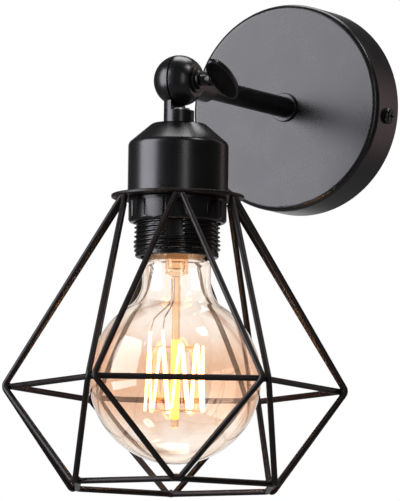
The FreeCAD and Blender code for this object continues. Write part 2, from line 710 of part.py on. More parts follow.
def holder_dome():
    """Upper half of the lampholder's case, tapped for the nipple."""
    boss_foot = DOME_TOP - DOME_BOSS_HEIGHT
    cone_foot = boss_foot - DOME_CONE_DROP
    hole = ARM_RADIUS + THREAD_GAP
    return hung(turned([
        (hole, DOME_TOP), (DOME_BOSS_RADIUS, DOME_TOP, DOME_BOSS_ROUND), (DOME_BOSS_RADIUS, boss_foot),
        (DOME_RADIUS, cone_foot, DOME_SHOULDER_ROUND), (DOME_RADIUS, DOME_FOOT),
        (DOME_RADIUS - DOME_WALL, DOME_FOOT),
        (DOME_RADIUS - DOME_WALL, cone_foot - DOME_WALL / 2), (DOME_BOSS_RADIUS, boss_foot - DOME_WALL),
        (hole, boss_foot - DOME_WALL)]))


def holder_skirt():
    """Lower half of the case, with the outside thread and the mouth."""
    spigot = DOME_RADIUS - DOME_WALL - FACE_GAP
    spigot_top = DOME_FOOT + SKIRT_SPIGOT
    flange = CAP_RADIUS - CAP_WALL - SKIRT_FLANGE_SPARE
    mouth = -MOUTH_DROP
    lip_top = mouth + MOUTH_LIP_HEIGHT
    turns = int((CAP_FOOT - lip_top) / SKIRT_PITCH)
    thread_low = lip_top + SKIRT_THREAD_SPARE
    outline = [(MOUTH_BORE, mouth, MOUTH_EDGE_ROUND), (MOUTH_LIP_RADIUS, mouth, MOUTH_LIP_ROUND),
               (MOUTH_LIP_RADIUS, lip_top)]
    outline += ridges(SKIRT_CREST, SKIRT_ROOT, SKIRT_PITCH, thread_low, turns)
    outline += [(SKIRT_ROOT, FLANGE_FOOT), (flange, FLANGE_FOOT), (flange, DOME_FOOT - FACE_GAP),
                (spigot, DOME_FOOT - FACE_GAP), (spigot, spigot_top), (SKIRT_BORE, spigot_top),
                (SKIRT_BORE, mouth + MOUTH_DEPTH + MOUTH_STEP_LENGTH), (MOUTH_BORE, mouth + MOUTH_DEPTH)]
    return hung(turned(outline))


def holder_core():
    """Porcelain disc that carries the contacts."""
    radius = SKIRT_BORE - FACE_GAP
    core = turned([(0, CORE_FOOT), (radius, CORE_FOOT), (radius, CORE_TOP, CORE_EDGE_ROUND),
                   (0, CORE_TOP)])
    for side in (-1, 1):
        place = side * TERMINAL_OUT
        core = core.cut(rod(CORE_WIRE_HOLE, Vector(0, place, CORE_FOOT - 1),
                            Vector(0, place, CORE_TOP + 1)))
    return hung(core)


def terminal_middles():
    """Middle of each terminal's foot on the core."""
    return [Vector(side * TERMINAL_OUT, 0, CORE_TOP) for side in (-1, 1)]


def holder_terminals():
    terminals = []
    for foot in terminal_middles():
        block = Part.makeBox(TERMINAL_SIZE, TERMINAL_SIZE, TERMINAL_HEIGHT,
                             foot - Vector(TERMINAL_SIZE / 2, TERMINAL_SIZE / 2, 0))
        middle = foot + UP * TERMINAL_HEIGHT / 2
        outward = Vector(math.copysign(TERMINAL_SIZE, foot.x), 0, 0)
        block = block.cut(rod(TERMINAL_SCREW_RADIUS + THREAD_GAP, middle, middle + outward))
        terminals.append(hung(block))
    return Part.makeCompound(terminals)


def terminal_screws():
    screws = []
    for foot in terminal_middles():
        one = screw(TERMINAL_SCREW_RADIUS, TERMINAL_SIZE / 2 - TERMINAL_SCREW_SPARE,
                    TERMINAL_HEAD_RADIUS, TERMINAL_HEAD_HEIGHT)
        one.rotate(ORIGIN, Vector(0, 1, 0), math.copysign(90, foot.x))
        out = math.copysign(TERMINAL_SIZE / 2 + FACE_GAP, foot.x)
        one.translate(foot + Vector(out, 0, TERMINAL_HEIGHT / 2))
        screws.append(hung(one))
    return Part.makeCompound(screws)


def head_leads():
    """Two insulated leads from the nipple to the terminals."""
    leads = []
    top = -(LAMP_SOCKET_FLOOR + NIPPLE_TOP_SPARE)
    spread = DOME_TOP - DOME_BOSS_HEIGHT - NIPPLE_TAIL - LEAD_SPREAD_DROP
    for foot in terminal_middles():
        side = math.copysign(LEAD_SIDE, foot.x)
        end = foot + UP * (TERMINAL_HEIGHT + FACE_GAP)
        route = [Vector(side, 0, top), Vector(side, 0, spread),
                 Vector(foot.x, 0, end.z + LEAD_END_RISE), end]
        leads.append(hung(bar(route, WIRE_INSULATION, LEAD_BEND / 2)))
    return Part.makeCompound(leads)


def screw_shell():
    """Thin threaded sleeve with a flange under the core."""
    turns = int((SHELL_LENGTH - SHELL_WALL - SHELL_PLAIN_LENGTH) / BULB_PITCH)
    low = CORE_FOOT - SHELL_LENGTH
    inner = ridges(SHELL_CREST, SHELL_ROOT, BULB_PITCH, low, turns)
    outer = [(radius + SHELL_WALL, height) for radius, height in inner]
    flange = CORE_FOOT - FACE_GAP
    outline = inner + [(SHELL_ROOT, flange - SHELL_WALL), (SHELL_FLANGE_BORE, flange - SHELL_WALL),
                       (SHELL_FLANGE_BORE, flange), (SHELL_ROOT + SHELL_WALL, flange)]
    return hung(turned(outline + outer[::-1]))


def centre_contact():
    """Springy leaf under the core that presses on the bulb's tip."""
    foot = CORE_FOOT - FACE_GAP
    tail = LEAF_TIP_HALF + LEAF_TAIL_LENGTH
    upper = [(-LEAF_FOOT, foot), (-LEAF_FOOT / 2, foot), (-LEAF_TIP_HALF, LEAF_TIP + LEAF_THICK),
             (LEAF_TIP_HALF, LEAF_TIP + LEAF_THICK), (tail, LEAF_TIP + LEAF_TAIL_RISE)]
    lower = [(tail, LEAF_TIP + LEAF_TAIL_RISE - LEAF_THICK), (LEAF_TIP_HALF, LEAF_TIP),
             (-LEAF_TIP_HALF, LEAF_TIP), (-LEAF_FOOT / 2 - LEAF_KINK, foot - LEAF_THICK),
             (-LEAF_FOOT, foot - LEAF_THICK)]
    corners = [Vector(x, -LEAF_WIDTH / 2, z) for x, z in upper + lower]
    leaf = Part.Face(Part.makePolygon(corners + corners[:1]))
    return hung(leaf.extrude(Vector(0, LEAF_WIDTH, 0)))


def shade_ring():
    """Grip ring that clamps the cage plate: facets parted by grooves."""
    top = SHADE_RING_TOP
    foot = top - SHADE_RING_HEIGHT
    bore = SKIRT_CREST + RING_GAP
    round_body = turned([(bore, foot), (SHADE_RING_RADIUS, foot, SHADE_RING_LIP_ROUND),
                         (SHADE_RING_RADIUS, top, SHADE_RING_TOP_ROUND), (bore, top)])
    corner = SHADE_RING_FLAT_OUT / math.cos(math.pi / SHADE_RING_FACETS)
    step = 360.0 / SHADE_RING_FACETS
    outline = [ray(step * (side + 0.5), corner, foot) for side in range(SHADE_RING_FACETS)]
    grip_top = top - SHADE_RING_FLANGE
    prism = Part.Face(Part.makePolygon(outline + outline[:1])).extrude(UP * (grip_top - foot))
    grip = round_body.common(prism)
    flange = round_body.common(Part.makeCylinder(2 * SHADE_RING_RADIUS, SHADE_RING_FLANGE,
                                                 Vector(0, 0, grip_top)))
    ring = grip.fuse(flange).removeSplitter()
    groove_foot = foot + SHADE_RING_LIP_ROUND
    groove = Part.makeBox(SHADE_GROOVE_WIDTH, 2 * SHADE_GROOVE_DEPTH, grip_top - groove_foot,
                          Vector(-SHADE_GROOVE_WIDTH / 2, -SHADE_RING_RADIUS - SHADE_GROOVE_DEPTH,
                                 groove_foot))
    for side in range(SHADE_RING_FACETS):
        ring = ring.cut(spun(groove, step * (side + 0.5)))
    return hung(ring)


# ---------------------------------------------------------------- wire cage
def cage_plate():
    bore = SKIRT_CREST + RING_GAP
    return hung(turned([(bore, PLATE_FOOT), (PLATE_RADIUS, PLATE_FOOT, PLATE_EDGE_ROUND),
                        (PLATE_RADIUS, PLATE_TOP, PLATE_EDGE_ROUND), (bore, PLATE_TOP)]))


def bend_inset(before, corner, after):
    """How far a wire's bend stays inside its corner."""
    middle = rounding(before, corner, after, WIRE_BEND)[1]
    return (corner - middle).Length


def diamond_corners():
    """Corners of the diamond on the azimuth 0, from one top end to the other.

    Neighbouring diamonds lie side by side at the middle corners, a wire's
    width and WIRE_GAP apart."""
    half_step = 180.0 / CAGE_SIDES
    beside = WIRE_RADIUS + WIRE_GAP / 2
    foot = ray(0, CAGE_FOOT_RADIUS, -CAGE_FOOT_DROP)
    corners = []
    for side in (-1, 1):
        middle = ray(side * half_step, CAGE_MIDDLE_RADIUS, -CAGE_MIDDLE_DROP)
        middle -= ray(side * (half_step + 90), beside, 0)
        rise = Vector(side * beside, -CAGE_TOP_RADIUS, PLATE_FOOT) - middle
        lean = math.hypot(rise.x, rise.y) / rise.Length
        top = Vector(side * beside, -CAGE_TOP_RADIUS, PLATE_FOOT - FACE_GAP - WIRE_RADIUS * lean)
        corners.append([top, middle])
    return corners[0] + [foot] + corners[1][::-1]


def cage_diamond(number):
    """One bent wire: plate, middle corner, foot, middle corner, plate."""
    step = 360.0 / CAGE_SIDES
    one = bar(diamond_corners(), WIRE_RADIUS, WIRE_BEND)
    return hung(spun(one, step * (number + 0.5)))


def ring_corners(radius, height, turn):
    step = 360.0 / CAGE_SIDES
    return [ray(step * side + turn, radius, height) for side in range(CAGE_SIDES)]


def ring_round_over():
    """How far a ring's bend stays inside its corner."""
    return RING_BEND * (1 / math.cos(math.pi / CAGE_SIDES) - 1)


def cage_middle_ring():
    """Six-sided ring that lies inside the diamonds' middle bends."""
    top, middle, foot = diamond_corners()[:3]
    inner = CAGE_MIDDLE_RADIUS - bend_inset(top, middle, foot)
    radius = inner - 2 * WIRE_RADIUS - WIRE_GAP + ring_round_over()
    return hung(bar(ring_corners(radius, -CAGE_MIDDLE_DROP, 0), WIRE_RADIUS, RING_BEND, True))


def cage_bottom_ring():
    """Six-sided ring that lies inside the diamonds' foot bends."""
    before, foot, after = diamond_corners()[1:4]
    bend = rounding(before, foot, after, WIRE_BEND)[1]
    radius = -bend.y - 2 * WIRE_RADIUS - WIRE_GAP + ring_round_over()
    turn = 180.0 / CAGE_SIDES
    return hung(bar(ring_corners(radius, bend.z, turn), WIRE_RADIUS, RING_BEND, True))


# --------------------------------------------------------------------- bulb
def bulb_contact():
    """Round solder tip."""
    foot = BULB_TIP - TIP_HEIGHT
    return hung(turned([(0, foot), (TIP_RADIUS, foot), (TIP_RADIUS, BULB_TIP, TIP_ROUND),
                        (0, BULB_TIP)]))


def bulb_insulator():
    edge = INSULATOR_TOP - INSULATOR_HEIGHT
    return hung(turned([(0, edge), (INSULATOR_RADIUS, edge), (INSULATOR_RADIUS, edge + INSULATOR_EDGE),
                        (TIP_RADIUS + INSULATOR_TIP_SPARE, INSULATOR_TOP), (0, INSULATOR_TOP)]))


def bulb_cap():
    """Thin threaded screw cap."""
    top = BULB_CAP_TOP - FACE_GAP
    thread_top = top - BULB_THREAD_START
    thread_foot = thread_top - BULB_THREAD_TURNS * BULB_PITCH
    outer = ridges(BULB_CREST, BULB_ROOT, BULB_PITCH, thread_foot, BULB_THREAD_TURNS)
    inner = [(radius - BULB_CAP_WALL, height) for radius, height in outer]
    outline = [(BULB_CREST, BULB_CAP_FOOT), (BULB_CREST, thread_foot - BULB_CAP_TAPER)] + outer
    turned_in = INSULATOR_RADIUS - BULB_CAP_TURN_IN
    outline += [(INSULATOR_RADIUS, top), (turned_in, top), (turned_in, top - BULB_CAP_WALL)]
    outline += inner[::-1]
    outline += [(BULB_CREST - BULB_CAP_WALL, thread_foot - BULB_CAP_TAPER),
                (BULB_CREST - BULB_CAP_WALL, BULB_CAP_FOOT)]
    return hung(turned(outline))


def bulb_glass():
    """Blown globe: a sphere that runs into the neck through a hollow curve."""
    def profile(inset):
        globe = GLOBE_RADIUS - inset
        neck = GLASS_NECK_RADIUS - inset
        fillet = GLASS_NECK_FILLET + inset
        rise = math.sqrt((globe + fillet) ** 2 - (neck + fillet) ** 2)
        bend = GLOBE_MIDDLE + rise
        share = globe / (globe + fillet)
        join = Vector((neck + fillet) * share, 0, GLOBE_MIDDLE + rise * share)
        half = math.atan2(rise, neck + fillet) / 2
        hollow = Vector(neck + fillet - fillet * math.cos(half), 0, bend - fillet * math.sin(half))
        root = Vector(GLASS_ROOT_RADIUS - inset, 0, BULB_CAP_FOOT + GLASS_ROOT_HIDDEN)
        waist = Vector(GLASS_ROOT_RADIUS - inset, 0, BULB_CAP_FOOT - GLASS_ROOT_SHOWN)
        shoulder = Vector(neck, 0, waist.z - GLASS_ROOT_FLARE)
        turn = (math.atan2(join.z - GLOBE_MIDDLE, join.x) - math.pi / 2) / 2
        belly = Vector(globe * math.cos(turn), 0, GLOBE_MIDDLE + globe * math.sin(turn))
        foot = Vector(0, 0, GLOBE_MIDDLE - globe)
        return [Part.makeLine(root, waist), Part.makeLine(waist, shoulder),
                Part.makeLine(shoulder, Vector(neck, 0, bend)),
                Part.Arc(Vector(neck, 0, bend), hollow, join).toShape(),
                Part.Arc(join, belly, foot).toShape()], root, foot

    outside, outer_root, outer_foot = profile(0)
    inside, inner_root, inner_foot = profile(GLASS_WALL)
    wire = Part.Wire(outside + [Part.makeLine(outer_foot, inner_foot)] + inside[::-1]
                     + [Part.makeLine(inner_root, outer_root)])
    return hung(Part.Face(wire).revolve(ORIGIN, UP, 360))


def bulb_stem():
    """Glass stem: flared tube, pinch and the rod through the filament."""
    flare = GLASS_ROOT_RADIUS - GLASS_WALL - STEM_FLARE_GAP
    tube_top = STEM_FOOT - STEM_FOOT_FLARE
    rod_end = -FILAMENT_FOOT_DROP - ROD_END_SPARE
    bore = STEM_RADIUS - STEM_WALL
    bore_end = PINCH_TOP + PINCH_BASE
    return hung(turned([
        (flare - STEM_WALL, STEM_FOOT), (flare, STEM_FOOT), (STEM_RADIUS, tube_top),
        (STEM_RADIUS, PINCH_TOP + STEM_END_RISE, STEM_END_ROUND), (PINCH_RADIUS, PINCH_TOP),
        (PINCH_RADIUS, PINCH_FOOT), (ROD_RADIUS, PINCH_FOOT - PINCH_STEP),
        (ROD_RADIUS, rod_end, ROD_END_ROUND), (0, rod_end), (0, bore_end),
        (bore, bore_end + PINCH_BASE_TAPER), (bore, tube_top)]))


def filament_corners():
    """Zigzag from hook to hook, round the rod and not quite closed."""
    step = 360.0 / FILAMENT_TOP_HOOKS
    corners = []
    for hook in range(FILAMENT_TOP_HOOKS):
        corners.append(ray(step * hook, FILAMENT_TOP_RADIUS, -FILAMENT_TOP_DROP))
        if hook < FILAMENT_TOP_HOOKS - 1:
            corners.append(ray(step * (hook + 0.5), FILAMENT_FOOT_RADIUS, -FILAMENT_FOOT_DROP))
    return corners


def bulb_filament():
    return hung(bar(filament_corners(), FILAMENT_RADIUS, FILAMENT_HOOK_BEND))


def bulb_hooks():
    """Support wires from the rod to the filament's bends."""
    hooks = []
    corners = filament_corners()
    for before, corner, after in zip(corners, corners[1:], corners[2:]):
        bend = rounding(before, corner, after, FILAMENT_HOOK_BEND)[1]
        away = Vector(bend.x, bend.y, 0).normalize()
        end = Vector(0, 0, bend.z) + away * (math.hypot(bend.x, bend.y) - FILAMENT_RADIUS - FACE_GAP)
        start = Vector(0, 0, bend.z) + away * (ROD_RADIUS + FACE_GAP)
        hooks.append(hung(rod(HOOK_RADIUS, start, end)))
    return Part.makeCompound(hooks)


def bulb_leads():
    """Stiff leads from the pinch to the filament's two ends."""
    leads = []
    corners = filament_corners()
    for end in (corners[0], corners[-1]):
        away = Vector(end.x, end.y, 0).normalize()
        beside = away * (PINCH_RADIUS + LEAD_RADIUS + FACE_GAP)
        start = beside + UP * (PINCH_TOP - LEAD_TOP_SPARE)
        knee = beside + UP * (PINCH_FOOT - LEAD_KNEE_DROP)
        elbow = away * (FILAMENT_TOP_RADIUS - LEAD_ELBOW_IN) + UP * (end.z + LEAD_ELBOW_RISE)
        stop = away * FILAMENT_TOP_RADIUS + UP * (end.z + FILAMENT_RADIUS + FACE_GAP)
        leads.append(hung(bar([start, knee, elbow, stop], LEAD_RADIUS, LEAD_BEND / 2)))
    return Part.makeCompound(leads)


# -------------------------------------------------------------------- export
PIECES = {
    "canopy": canopy, "wall_bracket": wall_bracket, "canopy_screws": canopy_screws,
    "earth_screw": earth_screw, "earth_cup_washer": earth_cup_washer,
    "terminal_block": terminal_block, "block_tubes": block_tubes, "block_screws": block_screws,
    "arm_tube": arm_tube, "arm_collar": arm_collar, "arm_lock_washer": arm_lock_washer,
    "arm_nut": arm_nut, "arm_leads": arm_leads,
    "ball_half_arm": ball_half_arm, "ball_half_lamp": ball_half_lamp,
    "friction_ring": friction_ring, "pivot_washer": pivot_washer, "wing_screw": wing_screw,
    "neck_nipple": neck_nipple, "socket_cap": socket_cap, "cap_nut": cap_nut,
    "holder_dome": holder_dome, "holder_skirt": holder_skirt, "holder_core": holder_core,
    "holder_terminals": holder_terminals, "terminal_screws": terminal_screws,
    "head_leads": head_leads, "screw_shell": screw_shell, "centre_contact": centre_contact,
    "shade_ring": shade_ring, "cage_plate": cage_plate,
    "cage_middle_ring": cage_middle_ring, "cage_bottom_ring": cage_bottom_ring,
    "bulb_contact": bulb_contact, "bulb_insulator": bulb_insulator, "bulb_cap": bulb_cap,
    "bulb_glass": bulb_glass, "bulb_stem": bulb_stem, "bulb_filament": bulb_filament,
    "bulb_hooks": bulb_hooks, "bulb_leads": bulb_leads,
}


def main():
    os.makedirs("parts", exist_ok=True)
    shapes = {name: make() for name, make in PIECES.items()}
    for number in range(CAGE_SIDES):
        shapes["cage_diamond_%d" % (number + 1)] = cage_diamond(number)
    for name, shape in shapes.items():
        solids = shape.Solids
        print("%-20s %2d solids %10.1f mm3 %s" % (name, len(solids), shape.Volume,
                                                  "valid" if shape.isValid() else "NOT VALID"))
        (solids[0] if len(solids) == 1 else Part.makeCompound(solids)).exportStep(
            "parts/%s.step" % name)


main()
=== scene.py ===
import json
import math

import bmesh
import bpy
from bpy.props import FloatProperty, FloatVectorProperty, IntProperty, PointerProperty
from mathutils import Matrix, Vector


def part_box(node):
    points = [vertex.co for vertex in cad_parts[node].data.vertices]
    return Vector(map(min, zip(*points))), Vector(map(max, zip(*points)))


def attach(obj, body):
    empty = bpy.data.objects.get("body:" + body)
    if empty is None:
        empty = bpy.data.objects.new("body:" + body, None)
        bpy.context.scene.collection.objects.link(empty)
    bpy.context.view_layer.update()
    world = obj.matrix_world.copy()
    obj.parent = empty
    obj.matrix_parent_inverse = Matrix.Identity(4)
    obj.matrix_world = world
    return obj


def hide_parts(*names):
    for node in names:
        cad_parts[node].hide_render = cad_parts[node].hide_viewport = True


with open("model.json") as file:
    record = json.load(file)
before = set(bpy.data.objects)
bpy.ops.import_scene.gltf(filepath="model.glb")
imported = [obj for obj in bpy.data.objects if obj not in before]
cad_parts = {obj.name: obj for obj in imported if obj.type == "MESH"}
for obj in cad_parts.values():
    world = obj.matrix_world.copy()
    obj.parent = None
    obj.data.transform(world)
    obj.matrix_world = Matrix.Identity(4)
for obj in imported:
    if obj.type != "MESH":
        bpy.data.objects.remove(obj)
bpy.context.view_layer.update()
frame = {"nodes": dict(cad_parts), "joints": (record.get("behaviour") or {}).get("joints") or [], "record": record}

bl_info = {
    "name": "Cage Wall Light",
    "version": (1, 0, 0),
    "blender": (4, 5, 0),
    "location": "View3D > Sidebar > Wall Light",
    "description": "Wires, welds, bulb, holder thread, finishes and studio of a cage wall light",
    "category": "Object",
}

NODES = frame["nodes"]
LAMP_AXIS = Vector(next(j["pos_m"] for j in frame["joints"] if j["name"] == "head_tilt"))
DIAMONDS = sorted(name for name in NODES if name.startswith("cage_diamond_"))
TURN = 2 * math.pi
SMOOTH_ANGLE = math.radians(35)
ON_AXIS = 1e-6             # a turned point this near the axis lies on it
UNIT = (0.0, 1.0)
PLAIN = (1.0, 1.0, 1.0)    # no stretch
WHITE = (1.0, 1.0, 1.0)
NOISE_SPAN = (0.35, 0.65)  # where most of a noise's values lie
NOISE_MIDDLE = 0.5


def low(node_name, axis=2):
    """Lowest coordinate of a frame node along one axis."""
    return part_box(node_name)[0][axis]


def high(node_name, axis=2):
    """Highest coordinate of a frame node along one axis."""
    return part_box(node_name)[1][axis]


def clamp(value):
    """Value held between 0 and 1."""
    return min(1.0, max(0.0, value))


def length(name, description, default):
    """Length property in metres."""
    return FloatProperty(name=name, description=description, default=default, precision=5,
                         min=0.0, unit="LENGTH", subtype="DISTANCE")


def bearing(name, description, degrees):
    """Angle property, given in degrees."""
    return FloatProperty(name=name, description=description, default=math.radians(degrees),
                         subtype="ANGLE")


def colour(name, description, default):
    """Colour property."""
    return FloatVectorProperty(name=name, description=description, default=default, size=3,
                               min=0.0, max=1.0, subtype="COLOR")


# ---- sizes
class CageSizes(bpy.types.PropertyGroup):
    """Sizes of the wire cage, measured from the middle of the ball."""

    sides: IntProperty(name="Sides", description="Diamonds round the cage",
                       default=len(DIAMONDS), min=3)
    wire_radius: length("Wire radius", "Radius of every wire", 0.00142)
    wire_gap: length("Wire gap", "Gap between wires that lie side by side", 0.00012)
    bend: length("Bend", "Bend of a diamond's corners, to the wire's middle", 0.00275)
    ring_bend: length("Ring bend", "Bend of the rings' corners", 0.003)
    top_radius: length("Top radius", "Where the wires meet the plate", 0.0294)
    top_drop: length("Top drop", "Underside of the plate below the ball", -low("cage_plate"))
    middle_radius: length("Middle radius", "Widest corners of the cage", 0.0794)
    middle_drop: length("Middle drop", "Widest corners below the ball", 0.1442)
    foot_radius: length("Foot radius", "Lowest corners of the diamonds", 0.0532)
    foot_drop: length("Foot drop", "Lowest corners below the ball", 0.19102)
    middle_bead: length("Middle weld", "Weld at a widest corner", 0.0021)
    foot_bead: length("Foot weld", "Weld at a lowest corner", 0.0016)
    plate_bead: length("Plate weld", "Weld under the plate", 0.0017)


class BulbSizes(bpy.types.PropertyGroup):
    """Sizes of the bulb's glass and filament."""

    globe_radius: length("Globe radius", "Outer radius of the globe",
                         (high("bulb_glass", 0) - low("bulb_glass", 0)) / 2)
    wall: length("Wall", "Thickness of the glass", 0.0009)
    neck_radius: length("Neck radius", "Outer radius of the glass neck", 0.016)
    neck_fillet: length("Neck fillet", "Hollow curve between neck and globe", 0.014)
    root_radius: length("Root radius", "Radius where the glass enters the cap", 0.0125)
    root_height: length("Root height", "Straight length of the root", 0.0036)
    root_flare: length("Root flare", "Length over which the root widens to the neck", 0.0034)
    hooks: IntProperty(name="Hooks", description="Upper bends of the filament", default=9, min=3)
    strand_radius: length("Strand radius", "Radius of the glowing filament", 0.00062)
    strand_top_radius: length("Upper bends", "Upper bends from the bulb's axis", 0.0126)
    strand_foot_radius: length("Lower bends", "Lower bends from the bulb's axis", 0.0142)
    strand_top_drop: length("Upper drop", "Upper bends below the ball", 0.1180)
    strand_foot_drop: length("Lower drop", "Lower bends below the ball", 0.1613)
    # the lit rod is a painted glow along the glass rod, which is no lamp
    rod_radius: length("Rod radius", "Lit length of the glass rod", 0.00206)
    rod_top_drop: length("Rod top", "Start of the lit rod below the ball", 0.1215)
    rod_foot_drop: length("Rod foot", "End of the lit rod below the ball", 0.1585)
    strand_bend: length("Strand bend", "Bend of the filament over a hook", 0.0008)


class SkirtSizes(bpy.types.PropertyGroup):
    """Sizes of the lampholder's threaded skirt, measured from the middle of the ball."""

    crest: length("Crest", "Radius of the thread's crest", 0.02025)
    root: length("Root", "Radius of the thread's root", 0.0191)
    pitch: length("Pitch", "Height of one turn of the thread", 0.0021)
    thread_height: length("Thread height", "Top of the thread above the mouth", 0.0288)
    thread_spare: length("Thread spare", "Plain stretch between the lip and the thread", 0.0001)
    lip_radius: length("Lip radius", "Plain lip at the mouth", 0.0195)
    lip_height: length("Lip height", "Height of the plain lip", 0.0012)
    mouth_drop: length("Mouth drop", "Mouth below the ball", -low("holder_skirt"))
    mouth_bore: length("Mouth bore", "Bore at the mouth", 0.0169)
    mouth_depth: length("Mouth depth", "Depth of the mouth's bore", 0.014)
    mouth_bevel: length("Mouth bevel", "Bevel inside the mouth", 0.0004)
    lip_bevel: length("Lip bevel", "Bevel outside the mouth", 0.0005)
    bore: length("Bore", "Bore round the screw shell", 0.015)
    bore_foot: length("Bore foot", "Lower end of the inner bore above the mouth", 0.016)
    flange_foot: length("Flange foot", "Underside of the flange below the skirt's top", 0.0070)
    flange_top: length("Flange top", "Top of the flange below the skirt's top", 0.0041)
    flange_radius: length("Flange radius", "Flange inside the cap", high("holder_skirt", 0))
    spigot_radius: length("Spigot radius", "Spigot inside the dome", 0.01675)
    flat_width: length("Flat width", "Smooth patch across the thread", 0.0088)
    flat_foot: length("Flat foot", "Lower end of the smooth patch below the ball", 0.0747)
    flat_edge: length("Flat edge", "Width over which the thread runs out", 0.0006)
    flats: IntProperty(name="Flats", description="Smooth patches round the skirt", default=4, min=1)
    flat_turn: bearing("Flat turn", "First patch, from -Y towards +X", 24.0)


class RingSizes(bpy.types.PropertyGroup):
    """Sizes of the grip ring under the cage plate."""

    facets: IntProperty(name="Facets", description="Facets round the ring", default=14, min=3)
    radius: length("Radius", "Ring over its edges", high("shade_ring", 0))
    bulge: FloatProperty(name="Bulge", description="0 for flat facets, 1 for a round ring",
                         default=0.55, min=0.0, max=1.0)
    bore: length("Bore", "Bore over the skirt's thread", 0.02055)
    flange: length("Flange", "Plain flange at the top", 0.0017)
    lip_round: length("Lip", "Rounding of the lower edge", 0.0020)
    grip_foot: length("Grip foot", "Start of the straight facets above the lower edge", 0.0023)
    top_bevel: length("Top bevel", "Bevel of the upper edge", 0.0004)
    groove_width: length("Groove width", "Width of a groove between facets", 0.0010)
    groove_depth: length("Groove depth", "Depth of a groove between facets", 0.0005)
    groove_edge: length("Groove edge", "Width over which a groove deepens", 0.0003)
    groove_end: length("Groove end", "Height over which the grooves run out", 0.0001)


class FinishColours(bpy.types.PropertyGroup):
    """Colours of the finishes that show most, and the globe's painted glow band, an orange tint that stands in for
    the filament's halo.
    """

    paint: colour("Paint", "Satin black coat of canopy, arm and cap", (0.0030, 0.0030, 0.0034))
    # wire coat: near-black of its own, with a reddish tone that is partly painted warm light from the filament
    wire_paint: colour("Wire paint", "Dipped coat of the cage", (0.0062, 0.0031, 0.0028))
    phenolic: colour("Phenolic", "Moulded holder and ring", (0.0036, 0.0034, 0.0034))
    glass_clear: colour("Clear glass", "Bulb glass seen straight on", (0.980, 0.942, 0.900))
    glass_deep: colour("Deep glass", "Bulb glass seen on edge", (0.93, 0.78, 0.65))
    # painted glow: the band's orange tint round the globe's middle stands in for the filament's halo
    painted_glow_band: colour("Painted glow band", "Band round the globe's middle", (0.87, 0.67, 0.54))
    glow_band_drop: length("Band drop", "Middle of the painted glow band below the ball", 0.1395)
    glow_band_half: length("Band half", "Half the height of the painted glow band", 0.029)
    glow: colour("Glow", "Light of the filament", (1.0, 0.46, 0.15))
    brass: colour("Brass", "Screw cap and contacts", (0.70, 0.46, 0.19))


class StudioSizes(bpy.types.PropertyGroup):
    """Camera, lamps and floor."""

    lens_pixels: FloatProperty(name="Lens", description="Focal length in pixels of the picture",
                               default=6841.8)
    picture_pixels: IntProperty(name="Picture", description="Width of that picture in pixels",
                                default=400, min=1)
    sensor: FloatProperty(name="Sensor", description="Width of the sensor in millimetres",
                          default=36.0)
    azimuth: bearing("Azimuth", "Camera round the light, from the room's middle", 28.551)
    elevation: bearing("Elevation", "Camera above the light", -6.087)
    roll: bearing("Roll", "Camera turned about its own axis", 0.801)
    distance: length("Distance", "Camera to its target", 3.1751)
    target: FloatVectorProperty(name="Target", description="Point that the camera faces",
                                default=(0.012183, -0.127, -0.079979), subtype="XYZ", unit="LENGTH")
    floor_drop: length("Floor drop", "Floor below the wall bracket", 3.6)
    floor_side: length("Floor side", "Side of the square floor", 16.0)
    aim: FloatVectorProperty(name="Aim", description="Point that the lamps face",
                             default=(0.0, -0.09, -0.05), subtype="XYZ", unit="LENGTH")


GROUPS = {"cage_sizes": CageSizes, "bulb_sizes": BulbSizes, "skirt_sizes": SkirtSizes,
          "ring_sizes": RingSizes, "finish_colours": FinishColours, "studio_sizes": StudioSizes}


# ---- node helpers
def node(tree, kind, values=None, **settings):
    """Add a node, set its settings, and link or set its inputs. A node given as an input's
    value stands for its first output."""
    made = tree.nodes.new(kind)
    for name, value in settings.items():
        setattr(made, name, value)
    for key, value in (values or {}).items():
        socket = made.inputs[key]
        if isinstance(value, bpy.types.Node):
            value = value.outputs[0]
        if isinstance(value, bpy.types.NodeSocket):
            tree.links.new(value, socket)
        elif socket.type == "RGBA":
            socket.default_value = (*value[:3], 1.0)
        else:
            socket.default_value = value
    return made


def sums(tree, operation, first, second=0.0):
    """One Math node."""
    return node(tree, "ShaderNodeMath", {0: first, 1: second}, operation=operation)


def times(tree, first, second):
    return sums(tree, "MULTIPLY", first, second)


def blend(tree, factor, first, second):
    """Colour between two colours."""
    return node(tree, "ShaderNodeMix", {0: factor, 6: first, 7: second},
                data_type="RGBA").outputs[2]


def spread(tree, value, source, target, curve="LINEAR"):
    """Map Range from one span of values to another."""
    return node(tree, "ShaderNodeMapRange", {"Value": value, 1: source[0], 2: source[1],
                                             3: target[0], 4: target[1]},
                interpolation_type=curve)


def seen_straight(tree, path):
    """One for rays from the camera, also through glass."""
    return sums(tree, "MAXIMUM", path.outputs["Is Camera Ray"], path.outputs["Is Transmission Ray"])


def switched(tree, factor, first, second):
    """End a material with one shader, or another where the factor is 1."""
    mixed = node(tree, "ShaderNodeMixShader", {0: factor, 1: first, 2: second})
    node(tree, "ShaderNodeOutputMaterial", {"Surface": mixed})


# ---- finishes
def new_material(name):
    material = bpy.data.materials.new(name)
    material.use_nodes = True
    material.node_tree.nodes.clear()
    return material, material.node_tree


def place(tree, stretch):
    """Object coordinates, stretched along the finish's own direction."""
    coordinates = node(tree, "ShaderNodeTexCoord").outputs["Object"]
    return node(tree, "ShaderNodeMapping", {"Vector": coordinates, "Scale": stretch})


def noise(tree, where, scale, detail=3.0, distortion=0.0):
    return node(tree, "ShaderNodeTexNoise", {"Vector": where, "Scale": scale, "Detail": detail,
                                             "Distortion": distortion})


